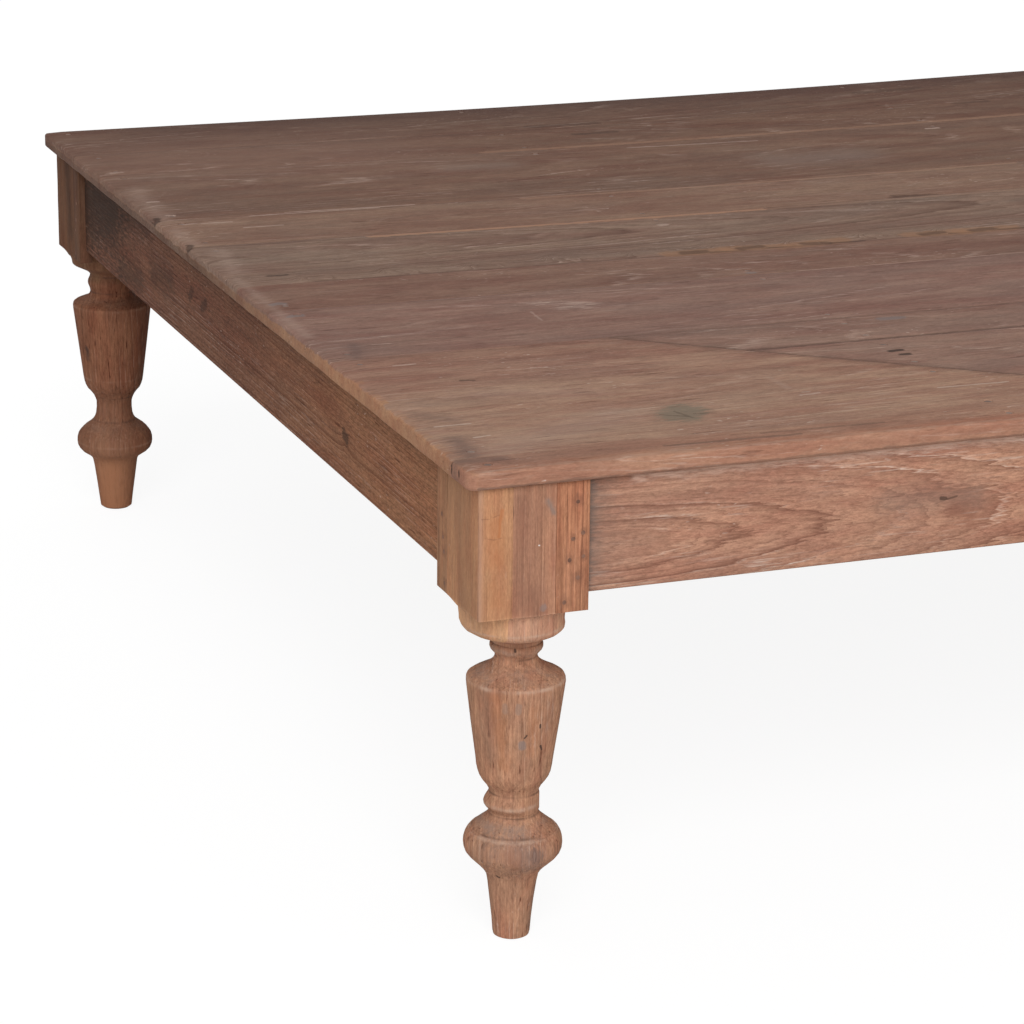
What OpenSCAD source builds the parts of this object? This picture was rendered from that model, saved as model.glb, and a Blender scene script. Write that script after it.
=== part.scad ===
// Low coffee table of old teak planks on four turned legs.
// X runs along the front, Y to the back and Z up. The origin lies on the floor, under the middle
// of the top. Each leg is drawn with the outer corner of its block at the origin, the block
// reaching along +X and +Y, and is then set or mirrored into its corner of the frame.

/* [Frame] */
// Length of the frame along the front, over the leg blocks
frame_l = 1456; // [1150:1:2200]
// Depth of the frame, over the leg blocks
frame_w = 1376; // [1340:1:1600]
// Height of the table
height = 430; // [400:1:520]

/* [Top] */
// Thickness of the planks
top_t = 17; // [12:0.5:28]
// How far the top stands past the leg blocks at the left and right ends
end_overhang = 12; // [2:0.5:40]
// How far the top stands past the leg blocks at the front and the back
side_overhang = 6.5; // [2:0.5:40]
// Radius worn on the upper edge all round
edge_round = 6; // [1:0.5:10]
// Plan radius of the two front corners
front_corner_r = 9; // [2:0.5:30]
// Plan radius of the two rear corners, which are worn more
rear_corner_r = 30; // [2:0.5:60]

/* [Planks] */
// Width of the narrow strip along the front edge
strip_w = 40.5; // [20:0.5:60]
// Width of the wide plank behind the strip
wide_plank_w = 319; // [290:1:340]
// Width of the second plank
plank_2_w = 181; // [80:1:200]
// Width of the third plank
plank_3_w = 98; // [80:1:120]
// Width of the fourth plank
plank_4_w = 167; // [80:1:180]
// Width of the fifth plank
plank_5_w = 121; // [80:1:140]
// Width of the seventh plank
plank_7_w = 108; // [80:1:120]
// Width of the plank along the back edge
rear_plank_w = 132.5; // [80:0.5:160]
// Distance from the left end to where the wide plank's slanted cut leaves its back edge
cut_start = 267; // [120:1:400]
// Length along X of the slanted cut
cut_run = 310; // [100:1:450]
// Width of the filling plank that lies at the back of the cut
back_fill_w = 81; // [75:1:110]
// Width of the filling plank that lies in front of the other
front_fill_w = 164; // [120:1:175]

/* [Leg block] */
// Width of the square block along the front
block_w = 96; // [92:0.5:120]
// Depth of the square block along the end
block_d = 100; // [92:0.5:120]
// Height of the block, from its lower face to the planks
block_h = 112; // [105:0.5:130]
// Thickness of the outer stave of the glued leg
outer_stave_w = 29.5; // [28:0.5:40]
// Radius of the hollow between the block and the collar
cove_r = 8; // [3:0.5:12]

/* [Aprons] */
// Height of the four aprons
apron_h = 98; // [80:0.5:104]
// Thickness of the aprons
apron_t = 26; // [24:0.5:34]
// How far the long aprons lie behind the faces of the blocks
long_recess = 4.5; // [0:0.5:10]
// How far the end aprons lie behind the faces of the blocks
end_recess = 7; // [0:0.5:10]
// Thickness of the tenons
tenon_t = 13; // [8:0.5:14]
// Height of the shoulder above and below a tenon
tenon_shoulder = 12; // [6:0.5:20]

/* [Cheeks] */
// Thickness of the nailed cheek strips that close the tenon slots
cheek_t = 14; // [10:0.5:15]
// Width of the cheek strip on the front or back face of a block
long_cheek_w = 29; // [24:0.5:34]
// Width of the cheek strip on the end face of a block
end_cheek_w = 24; // [20:0.5:34]

/* [Bearers] */
// Distance between the middles of the two bearers under the top
bearer_spacing = 491; // [300:1:700]
// Width of a bearer
bearer_w = 45; // [30:1:70]
// Height of a bearer
bearer_h = 70; // [40:1:90]
// Depth of the housings in the long aprons that hold the bearers
housing_d = 10; // [5:0.5:15]

/* [Nails] */
// Distance from a plank's edge to its nails
nail_from_joint = 18; // [12:0.5:24]
// Distance from the end of the top to the row of nails over the end apron
end_nail_inset = 24; // [20:0.5:30]
// Length of the nails in the top
top_nail_l = 42; // [36:1:60]
// Head diameter of the nails in the top
top_nail_head_d = 6.5; // [4:0.5:9]
// Shank diameter of the nails in the top
top_nail_d = 3; // [2:0.25:3.5]
// Depth of the heads below the surface of the top
top_nail_sink = 0.6; // [0:0.1:2]
// Length of the nails in the cheeks
cheek_nail_l = 24; // [20:1:26]
// Head diameter of the nails in the cheeks
cheek_nail_head_d = 4; // [3:0.25:5]
// Shank diameter of the nails in the cheeks
cheek_nail_d = 2.2; // [1.5:0.1:2.8]
// Thickness of a nail head
nail_head_t = 1.4; // [0.8:0.1:2]
// Clearance round nails and tenons
fit_gap = 0.15; // [0.05:0.05:0.3]

/* [Turning shared by all legs] */
// Radius worn at the tip of a foot
foot_tip_round = 4; // [1:0.5:8]
// Radius of the round that makes the bulb
bulb_round = 14; // [10:0.5:16]
// How far the fine ridge on top of the bulb stands out
bulb_ridge = 1; // [0.4:0.1:2]
// Height over which the bulb falls away to the low neck
bulb_fall_h = 13; // [9:0.5:16]
// Half of the height of the low bead
low_bead_half_h = 7; // [4:0.5:8]
// Radius of the round at the bottom of the vase
vase_round = 13; // [8:0.5:16]
// Height from the start of the vase to the middle of that round
vase_round_h = 20; // [16:0.5:24]
// Radius of the round at the rim of the vase
rim_round = 3.5; // [1:0.5:6]
// Slope above the rim and below the collar, in degrees from level
shoulder_angle = 31; // [24:1:35]
// Radius of the round at the lower edge of the collar
collar_round = 3; // [1:0.5:4]
// Depth of the fine grooves that part the beads from what is next to them
groove = 0.8; // [0.3:0.1:1]

/* [Front legs] */
// Radius at the tip of the foot
front_tip_r = 16.2; // [14:0.1:19]
// Radius at the top of the foot
front_foot_r = 21.3; // [20:0.1:25]
// Height of the foot
front_foot_h = 55; // [45:0.5:70]
// Rise from the top of the foot to the widest part of the bulb
front_bulb_rise = 31; // [28:0.5:36]
// Radius of the bulb
front_bulb_r = 42.5; // [38:0.5:45]
// Radius of the low neck
front_low_neck_r = 21.3; // [19:0.1:24]
// Rise from the middle of the bulb to the middle of the low bead
front_low_bead_rise = 35.5; // [34:0.5:38]
// Radius of the low bead
front_low_bead_r = 25.8; // [25:0.1:28]
// Rise from the middle of the bulb to the start of the vase
front_vase_rise = 47; // [46:0.5:54]
// Radius of the vase where its straight taper begins
front_vase_r = 32.2; // [30:0.1:36]
// Drop from the block to the rim of the vase
front_rim_drop = 66.5; // [64:0.5:80]
// Radius of the rim
front_rim_r = 42.2; // [38:0.1:45]
// Radius of the high neck
front_high_neck_r = 18.2; // [16:0.1:19.5]
// Drop from the block to the middle of the high bead
front_high_bead_drop = 40.5; // [39:0.5:43]
// Half of the height of the high bead
front_high_bead_half_h = 5; // [3.5:0.25:6]
// Radius of the high bead
front_high_bead_r = 23; // [22.8:0.1:28]
// Radius of the band between the high bead and the collar
front_band_r = 21.8; // [20.5:0.1:22.5]
// Drop from the block to the lower edge of the collar
front_collar_drop = 17; // [14:0.5:18]
// Radius of the collar
front_collar_r = 44.5; // [41:0.5:45.5]

/* [Rear legs] */
// Radius at the tip of the foot
rear_tip_r = 18.4; // [16:0.1:21]
// Radius at the top of the foot
rear_foot_r = 25; // [23:0.1:27]
// Height of the foot
rear_foot_h = 56; // [45:0.5:70]
// Rise from the top of the foot to the widest part of the bulb
rear_bulb_rise = 25; // [22:0.5:32]
// Radius of the bulb
rear_bulb_r = 43; // [38:0.5:45]
// Radius of the low neck
rear_low_neck_r = 20.3; // [19:0.1:24]
// Rise from the middle of the bulb to the start of the vase
rear_vase_rise = 49; // [40:0.5:56]
// Radius of the vase where its straight taper begins
rear_vase_r = 33.4; // [30:0.1:36]
// Drop from the block to the rim of the vase
rear_rim_drop = 59.5; // [58:0.5:70]
// Radius of the rim
rear_rim_r = 44.2; // [40:0.1:45]
// Radius of the high neck
rear_high_neck_r = 23.8; // [22.5:0.1:24.5]
// Drop from the block to the middle of the high bead
rear_high_bead_drop = 35; // [33:0.5:36]
// Half of the height of the high bead
rear_high_bead_half_h = 8; // [6:0.25:8.5]
// Radius of the high bead
rear_high_bead_r = 27; // [26.5:0.1:29]
// Radius of the band between the high bead and the collar
rear_band_r = 24.4; // [23.5:0.1:25.5]
// Drop from the block to the lower edge of the collar
rear_collar_drop = 11; // [10:0.5:13]
// Radius of the collar
rear_collar_r = 44; // [41:0.5:45.5]

/* [Hidden] */
$fn = 72;
top_l = frame_l + 2 * end_overhang;
top_w = frame_w + 2 * side_overhang;
seat_z = height - top_t;
block_z = seat_z - block_h;
apron_z = seat_z - apron_h;
tenon_z = apron_z + tenon_shoulder;
tenon_h = apron_h - 2 * tenon_shoulder;
// A cut reaches this far past the faces it opens
past = 1;

// Plank edges, from the front edge of the top to its back edge. The sixth plank fills what is left.
front_plank_widths = [strip_w, wide_plank_w, plank_2_w, plank_3_w, plank_4_w, plank_5_w];
function total(list, count) = count == 0 ? 0 : list[count - 1] + total(list, count - 1);
plank_edges = concat(
    [for (i = [0 : len(front_plank_widths)]) total(front_plank_widths, i) - top_w / 2],
    [top_w / 2 - rear_plank_w - plank_7_w, top_w / 2 - rear_plank_w, top_w / 2]
);

// The slanted cut of the wide plank and the two planks that fill it
cut_back = [-top_l / 2 + cut_start, plank_edges[2]];
cut_front = cut_back + [cut_run, -back_fill_w - front_fill_w];
fill_joint_y = plank_edges[2] - back_fill_w;
function cut_x(y) = cut_back.x + cut_run * (cut_back.y - y) / (cut_back.y - cut_front.y);
function cut_y(x) = min(cut_back.y, max(cut_front.y,
    cut_back.y - (x - cut_back.x) * (cut_back.y - cut_front.y) / cut_run));

// Rows of nails across the top, each along Y
row_x = [-top_l / 2 + end_nail_inset, -bearer_spacing / 2, bearer_spacing / 2, top_l / 2 - end_nail_inset];
// Whether there are nails behind each plank edge, and in front of it, where a row crosses it
nails_behind = [false, false, true, true, false, true, true, true, false, false];
nails_in_front = [false, false, false, true, false, true, true, true, true, true];
// The strips that a row crosses in front of the second plank, each as its front and back edge
function front_spans(x) = cut_y(x) < fill_joint_y
    ? [[plank_edges[1], cut_y(x)], [cut_y(x), fill_joint_y], [fill_joint_y, plank_edges[2]]]
    : [[plank_edges[1], plank_edges[2]]];
function row_spots(x) = concat(
    [(plank_edges[0] + plank_edges[1]) / 2],
    [for (span = front_spans(x)) each [span[0] + nail_from_joint, span[1] - nail_from_joint]],
    [for (i = [0 : len(plank_edges) - 1]) if (nails_behind[i]) plank_edges[i] + nail_from_joint],
    [for (i = [0 : len(plank_edges) - 1]) if (nails_in_front[i]) plank_edges[i] - nail_from_joint]
);

// Nails in a cheek, as shares of its width from the leg's middle and of its height from the top
long_cheek_spots = [[0.63, 0.16], [0.8, 0.4], [0.5, 0.44], [0.4, 0.6], [0.82, 0.58], [0.66, 0.74], [0.26, 0.92]];
end_cheek_spots = [[0.5, 0.41], [0.38, 0.58], [0.28, 0.69], [0.2, 0.93]];

CORNERS = ["front_left", "front_right", "rear_left", "rear_right"];

// Points along an arc, with a point about every fifteen degrees
function arc(centre, r, from, to) = let (n = max(2, ceil(abs(to - from) / 15)))
    [for (i = [0 : n]) centre + r * [cos(from + (to - from) * i / n), sin(from + (to - from) * i / n)]];

// A round bead, from a radius below it up to its full radius and back to a radius above it
function bead(below_r, full_r, above_r, z, half_h) = let (
    rise = full_r - below_r,
    r = (half_h * half_h + rise * rise) / (2 * rise)
) arc([full_r - r, z], r, -acos(1 - rise / r), acos(1 - (full_r - above_r) / r));

// Outline of a turned leg as [radius, height] from the floor up to the planks
function turning(
    tip_r, foot_r, foot_h, bulb_rise, bulb_r, low_neck_r, low_bead_rise, low_bead_r, vase_rise, vase_r,
    rim_drop, rim_r, high_neck_r, high_bead_drop, high_bead_half_h, high_bead_r, band_r, collar_drop, collar_r
) = let (
    slope = tan(shoulder_angle),
    bulb_z = foot_h + bulb_rise,
    ridge_r = bulb_r - bulb_round + bulb_round * cos(60) + bulb_ridge,
    ridge_z = bulb_z + bulb_round * sin(60) + bulb_ridge,
    vase_z = bulb_z + vase_rise,
    rim_z = block_z - rim_drop,
    shoulder_r = high_neck_r + 3 * groove,
    shoulder_z = rim_z + (rim_r - rim_round - shoulder_r) * slope,
    high_bead_z = block_z - high_bead_drop,
    collar_z = block_z - collar_drop,
    collar_foot_z = collar_z - (collar_r - band_r) * slope - groove
) concat(
    [[0, 0]],
    arc([tip_r - foot_tip_round, foot_tip_round], foot_tip_round, -90, 0),
    [[foot_r, foot_h - 2 * groove], [foot_r + groove, foot_h - groove], [foot_r + 2 * groove, foot_h + 2 * groove]],
    arc([bulb_r - bulb_round, bulb_z], bulb_round, -50, 60),
    [[ridge_r, ridge_z], [ridge_r - bulb_ridge, ridge_z + bulb_ridge]],
    [[low_neck_r + groove, ridge_z + bulb_fall_h - 2 * groove], [low_neck_r, ridge_z + bulb_fall_h]],
    low_bead_r > low_neck_r ? bead(low_neck_r, low_bead_r, low_neck_r, bulb_z + low_bead_rise, low_bead_half_h) : [],
    [[low_neck_r, vase_z], [low_neck_r + 3 * groove, vase_z + vase_round_h / 5]],
    arc([vase_r - vase_round, vase_z + vase_round_h], vase_round, -58, -8),
    arc([rim_r - rim_round, rim_z - rim_round / 2], rim_round, -4, 60),
    [[shoulder_r, shoulder_z], [high_neck_r + groove, shoulder_z + 3 * groove], [high_neck_r, shoulder_z + 6 * groove]],
    bead(high_neck_r, high_bead_r, band_r - groove, high_bead_z, high_bead_half_h),
    [[band_r, high_bead_z + high_bead_half_h + groove], [band_r, collar_foot_z]],
    arc([collar_r - collar_round, collar_z], collar_round, -60, 0),
    arc([collar_r + cove_r, block_z - cove_r], cove_r, 180, 90),
    [[block_w + block_d, block_z], [block_w + block_d, seat_z], [0, seat_z]]
);

function front_turning() = turning(
    front_tip_r, front_foot_r, front_foot_h, front_bulb_rise, front_bulb_r, front_low_neck_r,
    front_low_bead_rise, front_low_bead_r, front_vase_rise, front_vase_r, front_rim_drop,
    front_rim_r, front_high_neck_r, front_high_bead_drop, front_high_bead_half_h, front_high_bead_r,
    front_band_r, front_collar_drop, front_collar_r
);

// The rear legs have a plain neck where the front legs have their low bead
function rear_turning() = turning(
    rear_tip_r, rear_foot_r, rear_foot_h, rear_bulb_rise, rear_bulb_r, rear_low_neck_r,
    0, 0, rear_vase_rise, rear_vase_r, rear_rim_drop,
    rear_rim_r, rear_high_neck_r, rear_high_bead_drop, rear_high_bead_half_h, rear_high_bead_r,
    rear_band_r, rear_collar_drop, rear_collar_r
);

// Mirrors what it holds, but only where that is wanted
module mirrored(wanted, direction) {
    if (wanted)
        mirror(direction)
            children();
    else
        children();
}

// Sets what is drawn for a front left leg into any corner of the frame
module at_corner(right, rear) {
    translate([right ? frame_l / 2 : -frame_l / 2, rear ? frame_w / 2 : -frame_w / 2, 0])
        mirrored(right, [1, 0, 0])
            mirrored(rear, [0, 1, 0])
                children();
}

// A nail that points down, with the top of its head at the origin
module nail(length, head_d, shank_d) {
    translate([0, 0, -length])
        cylinder(d = shank_d, h = length - nail_head_t / 2);
    translate([0, 0, -nail_head_t])
        cylinder(d = head_d, h = nail_head_t);
}

// The hole that a nail leaves, open above its head
module nail_hole(length, head_d, shank_d, open_h) {
    translate([0, 0, -length - fit_gap])
        cylinder(d = shank_d + 2 * fit_gap, h = length);
    translate([0, 0, -nail_head_t - fit_gap])
        cylinder(d = head_d + 2 * fit_gap, h = nail_head_t + fit_gap + open_h);
}

module top_nail_row(x) {
    color("dimgray")
        for (y = row_spots(x))
            translate([x, y, height - top_nail_sink])
                nail(top_nail_l, top_nail_head_d, top_nail_d);
}

// Holes of the rows of nails named by index, between two places along Y
module top_nail_holes(rows, y_from, y_to) {
    for (i = rows)
        for (y = row_spots(row_x[i]))
            if (y > y_from && y < y_to)
                translate([row_x[i], y, height - top_nail_sink])
                    nail_hole(top_nail_l, top_nail_head_d, top_nail_d, top_nail_sink + past);
}

// Places the nails of both cheeks of a leg, with each nail pointing into the block
module at_cheek_nails() {
    for (spot = long_cheek_spots)
        translate([block_w - long_cheek_w * (1 - spot.x), 0, seat_z - block_h * spot.y])
            rotate([90, 0, 0])
                children();
    for (spot = end_cheek_spots)
        translate([0, block_d - end_cheek_w * (1 - spot.x), seat_z - block_h * spot.y])
            rotate([0, -90, 0])
                children();
}

module cheek_nails(right, rear) {
    color("dimgray")
        at_corner(right, rear)
            at_cheek_nails()
                nail(cheek_nail_l, cheek_nail_head_d, cheek_nail_d);
}

module cheek_nail_holes() {
    at_cheek_nails()
        nail_hole(cheek_nail_l, cheek_nail_head_d, cheek_nail_d, past);
}

// Upright section of the top across one direction, with its two upper edges rounded
function edge_section(w) = concat(
    [[-w / 2, 0], [w / 2, 0]],
    arc([w / 2 - edge_round, top_t - edge_round], edge_round, 0, 90),
    arc([-w / 2 + edge_round, top_t - edge_round], edge_round, 90, 180)
);

function top_outline() = concat(
    arc([-top_l / 2 + front_corner_r, -top_w / 2 + front_corner_r], front_corner_r, 180, 270),
    arc([top_l / 2 - front_corner_r, -top_w / 2 + front_corner_r], front_corner_r, 270, 360),
    arc([top_l / 2 - rear_corner_r, top_w / 2 - rear_corner_r], rear_corner_r, 0, 90),
    arc([-top_l / 2 + rear_corner_r, top_w / 2 - rear_corner_r], rear_corner_r, 90, 180)
);

// One piece of the top: the plan shape, cut to the edges of the top and holed for its nails
module top_piece(plan, y_from, y_to) {
    difference() {
        translate([0, 0, seat_z])
            intersection() {
                linear_extrude(height = top_t)
                    intersection() {
                        polygon(plan);
                        polygon(top_outline());
                    }
                rotate([90, 0, 0])
                    linear_extrude(height = top_w, center = true)
                        polygon(edge_section(top_l));
                rotate([90, 0, 90])
                    linear_extrude(height = top_l, center = true)
                        polygon(edge_section(top_w));
            }
        top_nail_holes([0 : len(row_x) - 1], y_from, y_to);
    }
}

// A straight plank between two of the plank edges
module straight_plank(i) {
    front = plank_edges[i];
    back = plank_edges[i + 1];
    color("rosybrown")
        top_piece([[-top_l / 2, front], [top_l / 2, front], [top_l / 2, back], [-top_l / 2, back]], front, back);
}

module top_front_strip() {
    straight_plank(0);
}

module top_wide_plank() {
    color("rosybrown")
        top_piece([
            [-top_l / 2, plank_edges[1]], [top_l / 2, plank_edges[1]],
            [top_l / 2, cut_front.y], cut_front, cut_back, [-top_l / 2, cut_back.y]
        ], plank_edges[1], plank_edges[2]);
}

// A plank that fills the slanted cut between two places along Y
module fill_plank(front, back) {
    color("rosybrown")
        color("rosybrown")
        top_piece([[cut_x(front), front], [top_l / 2, front], [top_l / 2, back], [cut_x(back), back]], front, back);
}

// A long apron drawn at the front, with its tenons and the housings of the bearers
module long_apron(rear) {
    shoulder_l = frame_l - 2 * block_w;
    tenon_l = shoulder_l + 2 * (long_cheek_w - fit_gap);
    color("sandybrown")
        difference() {
            mirrored(rear, [0, 1, 0])
                translate([0, -frame_w / 2, 0])
                    difference() {
                        union() {
                            translate([-shoulder_l / 2, long_recess, apron_z])
                                cube([shoulder_l, apron_t, apron_h]);
                            translate([-tenon_l / 2, cheek_t, tenon_z + fit_gap])
                                cube([tenon_l, tenon_t - fit_gap, tenon_h - 2 * fit_gap]);
                        }
                        for (side = [-1, 1])
                            translate([side * bearer_spacing / 2, long_recess + apron_t - housing_d / 2, seat_z - bearer_h / 2])
                                cube([bearer_w + 2 * fit_gap, housing_d + 2 * fit_gap, bearer_h + 2 * fit_gap], center = true);
                    }
            apron_cheek_nail_holes([for (right = [false, true]) [right, rear]]);
            top_nail_holes([1, 2], rear ? 0 : -top_w / 2, rear ? top_w / 2 : 0);
        }
}

// Cuts the cheek nail holes of the corners named out of what they reach
module apron_cheek_nail_holes(corners) {
    for (corner = corners)
        at_corner(corner[0], corner[1])
            cheek_nail_holes();
}

module end_apron(right) {
    shoulder_l = frame_w - 2 * block_d;
    tenon_l = shoulder_l + 2 * (end_cheek_w - fit_gap);
    color("peru")
        difference() {
            mirrored(right, [1, 0, 0])
                translate([-frame_l / 2, 0, 0]) {
                    translate([end_recess, -shoulder_l / 2, apron_z])
                        cube([apron_t, shoulder_l, apron_h]);
                    translate([cheek_t, -tenon_l / 2, tenon_z + fit_gap])
                        cube([tenon_t - fit_gap, tenon_l, tenon_h - 2 * fit_gap]);
                }
            apron_cheek_nail_holes([for (rear = [false, true]) [right, rear]]);
            top_nail_holes([right ? 3 : 0], -shoulder_l / 2, shoulder_l / 2);
        }
}

// A bearer let into both long aprons under the planks
module bearer(side) {
    length = frame_w - 2 * (long_recess + apron_t - housing_d);
    color("peru")
        difference() {
            translate([side * bearer_spacing / 2 - bearer_w / 2, -length / 2, seat_z - bearer_h])
                cube([bearer_w, length, bearer_h]);
            top_nail_holes([side < 0 ? 1 : 2], -length / 2, length / 2);
        }
}

// The whole leg, turned from its square blank, with the slots and rebates of its block
module leg(outline) {
    difference() {
        intersection() {
            cube([block_w, block_d, seat_z]);
            translate([block_w / 2, block_d / 2, 0])
                rotate_extrude()
                    polygon(outline);
        }
        translate([block_w - long_cheek_w, -past, block_z])
            cube([long_cheek_w + past, cheek_t + past, block_h + past]);
        translate([-past, block_d - end_cheek_w, block_z])
            cube([cheek_t + past, end_cheek_w + past, block_h + past]);
        translate([block_w - long_cheek_w, 0, tenon_z])
            cube([long_cheek_w + past, cheek_t + tenon_t, tenon_h]);
        translate([0, block_d - end_cheek_w, tenon_z])
            cube([cheek_t + tenon_t, end_cheek_w + past, tenon_h]);
        cheek_nail_holes();
    }
}

// The part of a leg that its outer stave takes up. On the foot the stave would be a thin feather, so
// it ends at the foot's top, and the foot is all one with the inner stave.
module outer_side(rear) {
    translate([0, 0, rear ? rear_foot_h : front_foot_h])
        cube([outer_stave_w, block_d, seat_z]);
}

module outer_stave(right, rear) {
    color(rear ? "sienna" : "burlywood")
        difference() {
            at_corner(right, rear)
                intersection() {
                    leg(rear ? rear_turning() : front_turning());
                    outer_side(rear);
                }
            top_nail_holes([right ? 3 : 0], rear ? 0 : -top_w / 2, rear ? top_w / 2 : 0);
        }
}

module inner_stave(right, rear) {
    color(rear ? "sienna" : "burlywood")
        at_corner(right, rear)
            difference() {
                leg(rear ? rear_turning() : front_turning());
                outer_side(rear);
            }
}

module long_cheek(right, rear) {
    color("chocolate")
        at_corner(right, rear)
            difference() {
                translate([block_w - long_cheek_w, 0, block_z])
                    cube([long_cheek_w, cheek_t, block_h]);
                cheek_nail_holes();
            }
}

module end_cheek(right, rear) {
    color("chocolate")
        difference() {
            at_corner(right, rear)
                difference() {
                    translate([0, block_d - end_cheek_w, block_z])
                        cube([cheek_t, end_cheek_w, block_h]);
                    cheek_nail_holes();
                }
            top_nail_holes([right ? 3 : 0], rear ? 0 : -top_w / 2, rear ? top_w / 2 : 0);
        }
}

top_front_strip();
top_wide_plank();
fill_plank(cut_front.y, fill_joint_y);  // top_front_fill_plank
fill_plank(fill_joint_y, plank_edges[2]);  // top_back_fill_plank
straight_plank(2);  // top_plank_2
straight_plank(3);  // top_plank_3
straight_plank(4);  // top_plank_4
straight_plank(5);  // top_plank_5
straight_plank(6);  // top_plank_6
straight_plank(7);  // top_plank_7
straight_plank(8);  // top_rear_plank
long_apron(false);  // apron_front
long_apron(true);  // apron_rear
end_apron(false);  // apron_left
end_apron(true);  // apron_right
bearer(-1);  // bearer_left
bearer(1);  // bearer_right
outer_stave(false, false);  // leg_front_left_outer_stave
outer_stave(true, false);  // leg_front_right_outer_stave
outer_stave(false, true);  // leg_rear_left_outer_stave
outer_stave(true, true);  // leg_rear_right_outer_stave
inner_stave(false, false);  // leg_front_left_inner_stave
inner_stave(true, false);  // leg_front_right_inner_stave
inner_stave(false, true);  // leg_rear_left_inner_stave
inner_stave(true, true);  // leg_rear_right_inner_stave
long_cheek(false, false);  // cheek_front_left_long
long_cheek(true, false);  // cheek_front_right_long
long_cheek(false, true);  // cheek_rear_left_long
long_cheek(true, true);  // cheek_rear_right_long
end_cheek(false, false);  // cheek_front_left_end
end_cheek(true, false);  // cheek_front_right_end
end_cheek(false, true);  // cheek_rear_left_end
end_cheek(true, true);  // cheek_rear_right_end
cheek_nails(false, false);  // cheek_nails_front_left
cheek_nails(true, false);  // cheek_nails_front_right
cheek_nails(false, true);  // cheek_nails_rear_left
cheek_nails(true, true);  // cheek_nails_rear_right
top_nail_row(row_x[0]);  // top_nails_left
top_nail_row(row_x[1]);  // top_nails_left_bearer
top_nail_row(row_x[2]);  // top_nails_right_bearer
top_nail_row(row_x[3]);  // top_nails_right
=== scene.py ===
import math

import bmesh
import bpy
from mathutils import Matrix, Vector


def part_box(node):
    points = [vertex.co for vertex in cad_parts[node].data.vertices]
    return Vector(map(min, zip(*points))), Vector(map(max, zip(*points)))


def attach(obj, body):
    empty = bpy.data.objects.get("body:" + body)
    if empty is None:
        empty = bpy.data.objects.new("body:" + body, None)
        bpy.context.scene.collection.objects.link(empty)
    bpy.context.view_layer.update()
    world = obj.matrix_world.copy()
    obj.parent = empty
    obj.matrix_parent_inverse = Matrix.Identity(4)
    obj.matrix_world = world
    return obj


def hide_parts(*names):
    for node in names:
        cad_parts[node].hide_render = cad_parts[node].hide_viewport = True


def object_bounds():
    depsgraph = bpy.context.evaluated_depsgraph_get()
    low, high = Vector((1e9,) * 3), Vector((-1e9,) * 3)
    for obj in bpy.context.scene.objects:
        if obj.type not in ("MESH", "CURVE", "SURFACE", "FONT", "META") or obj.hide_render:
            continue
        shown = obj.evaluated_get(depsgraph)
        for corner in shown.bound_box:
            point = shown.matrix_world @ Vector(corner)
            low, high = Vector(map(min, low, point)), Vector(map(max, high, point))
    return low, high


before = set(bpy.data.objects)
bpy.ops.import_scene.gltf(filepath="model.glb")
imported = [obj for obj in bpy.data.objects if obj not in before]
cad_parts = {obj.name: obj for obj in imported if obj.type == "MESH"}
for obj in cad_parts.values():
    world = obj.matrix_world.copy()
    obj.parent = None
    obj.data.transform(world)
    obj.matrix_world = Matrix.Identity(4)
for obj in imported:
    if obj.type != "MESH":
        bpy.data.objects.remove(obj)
cad_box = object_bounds()

# Lengths are in metres, apart from the outlines of the turned legs, which are in millimetres
MM = 0.001

# The camera: where it stands, its yaw, pitch and roll in degrees, and its lens and sensor in mm
CAMERA_PLACE = (-1.7273, -3.3686, 1.3036)
CAMERA_TURNS = (20.97, 17.615, -0.619)
LENS, SENSOR = 131.7, 36

SKY_STRENGTH = 0.5
SUN_STRENGTH = 2.35
SUN_SPREAD = 40
TO_THE_SUN = (-0.25, -0.75, 0.6)
FLOOR_SIZE = 60
FLOOR_WHITE = 0.93
FLOOR_SHADE = 0.12
FLOOR_IN_VIEW = 1.02

TOP_LOW = Vector((cad_box[0].x, cad_box[0].y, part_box("top_wide_plank")[0].z))
TOP_HIGH = Vector(cad_box[1])
CORNERS = {
    "front_left": (-1, -1),
    "front_right": (1, -1),
    "rear_left": (-1, 1),
    "rear_right": (1, 1),
}


# Node work for the finishes

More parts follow.
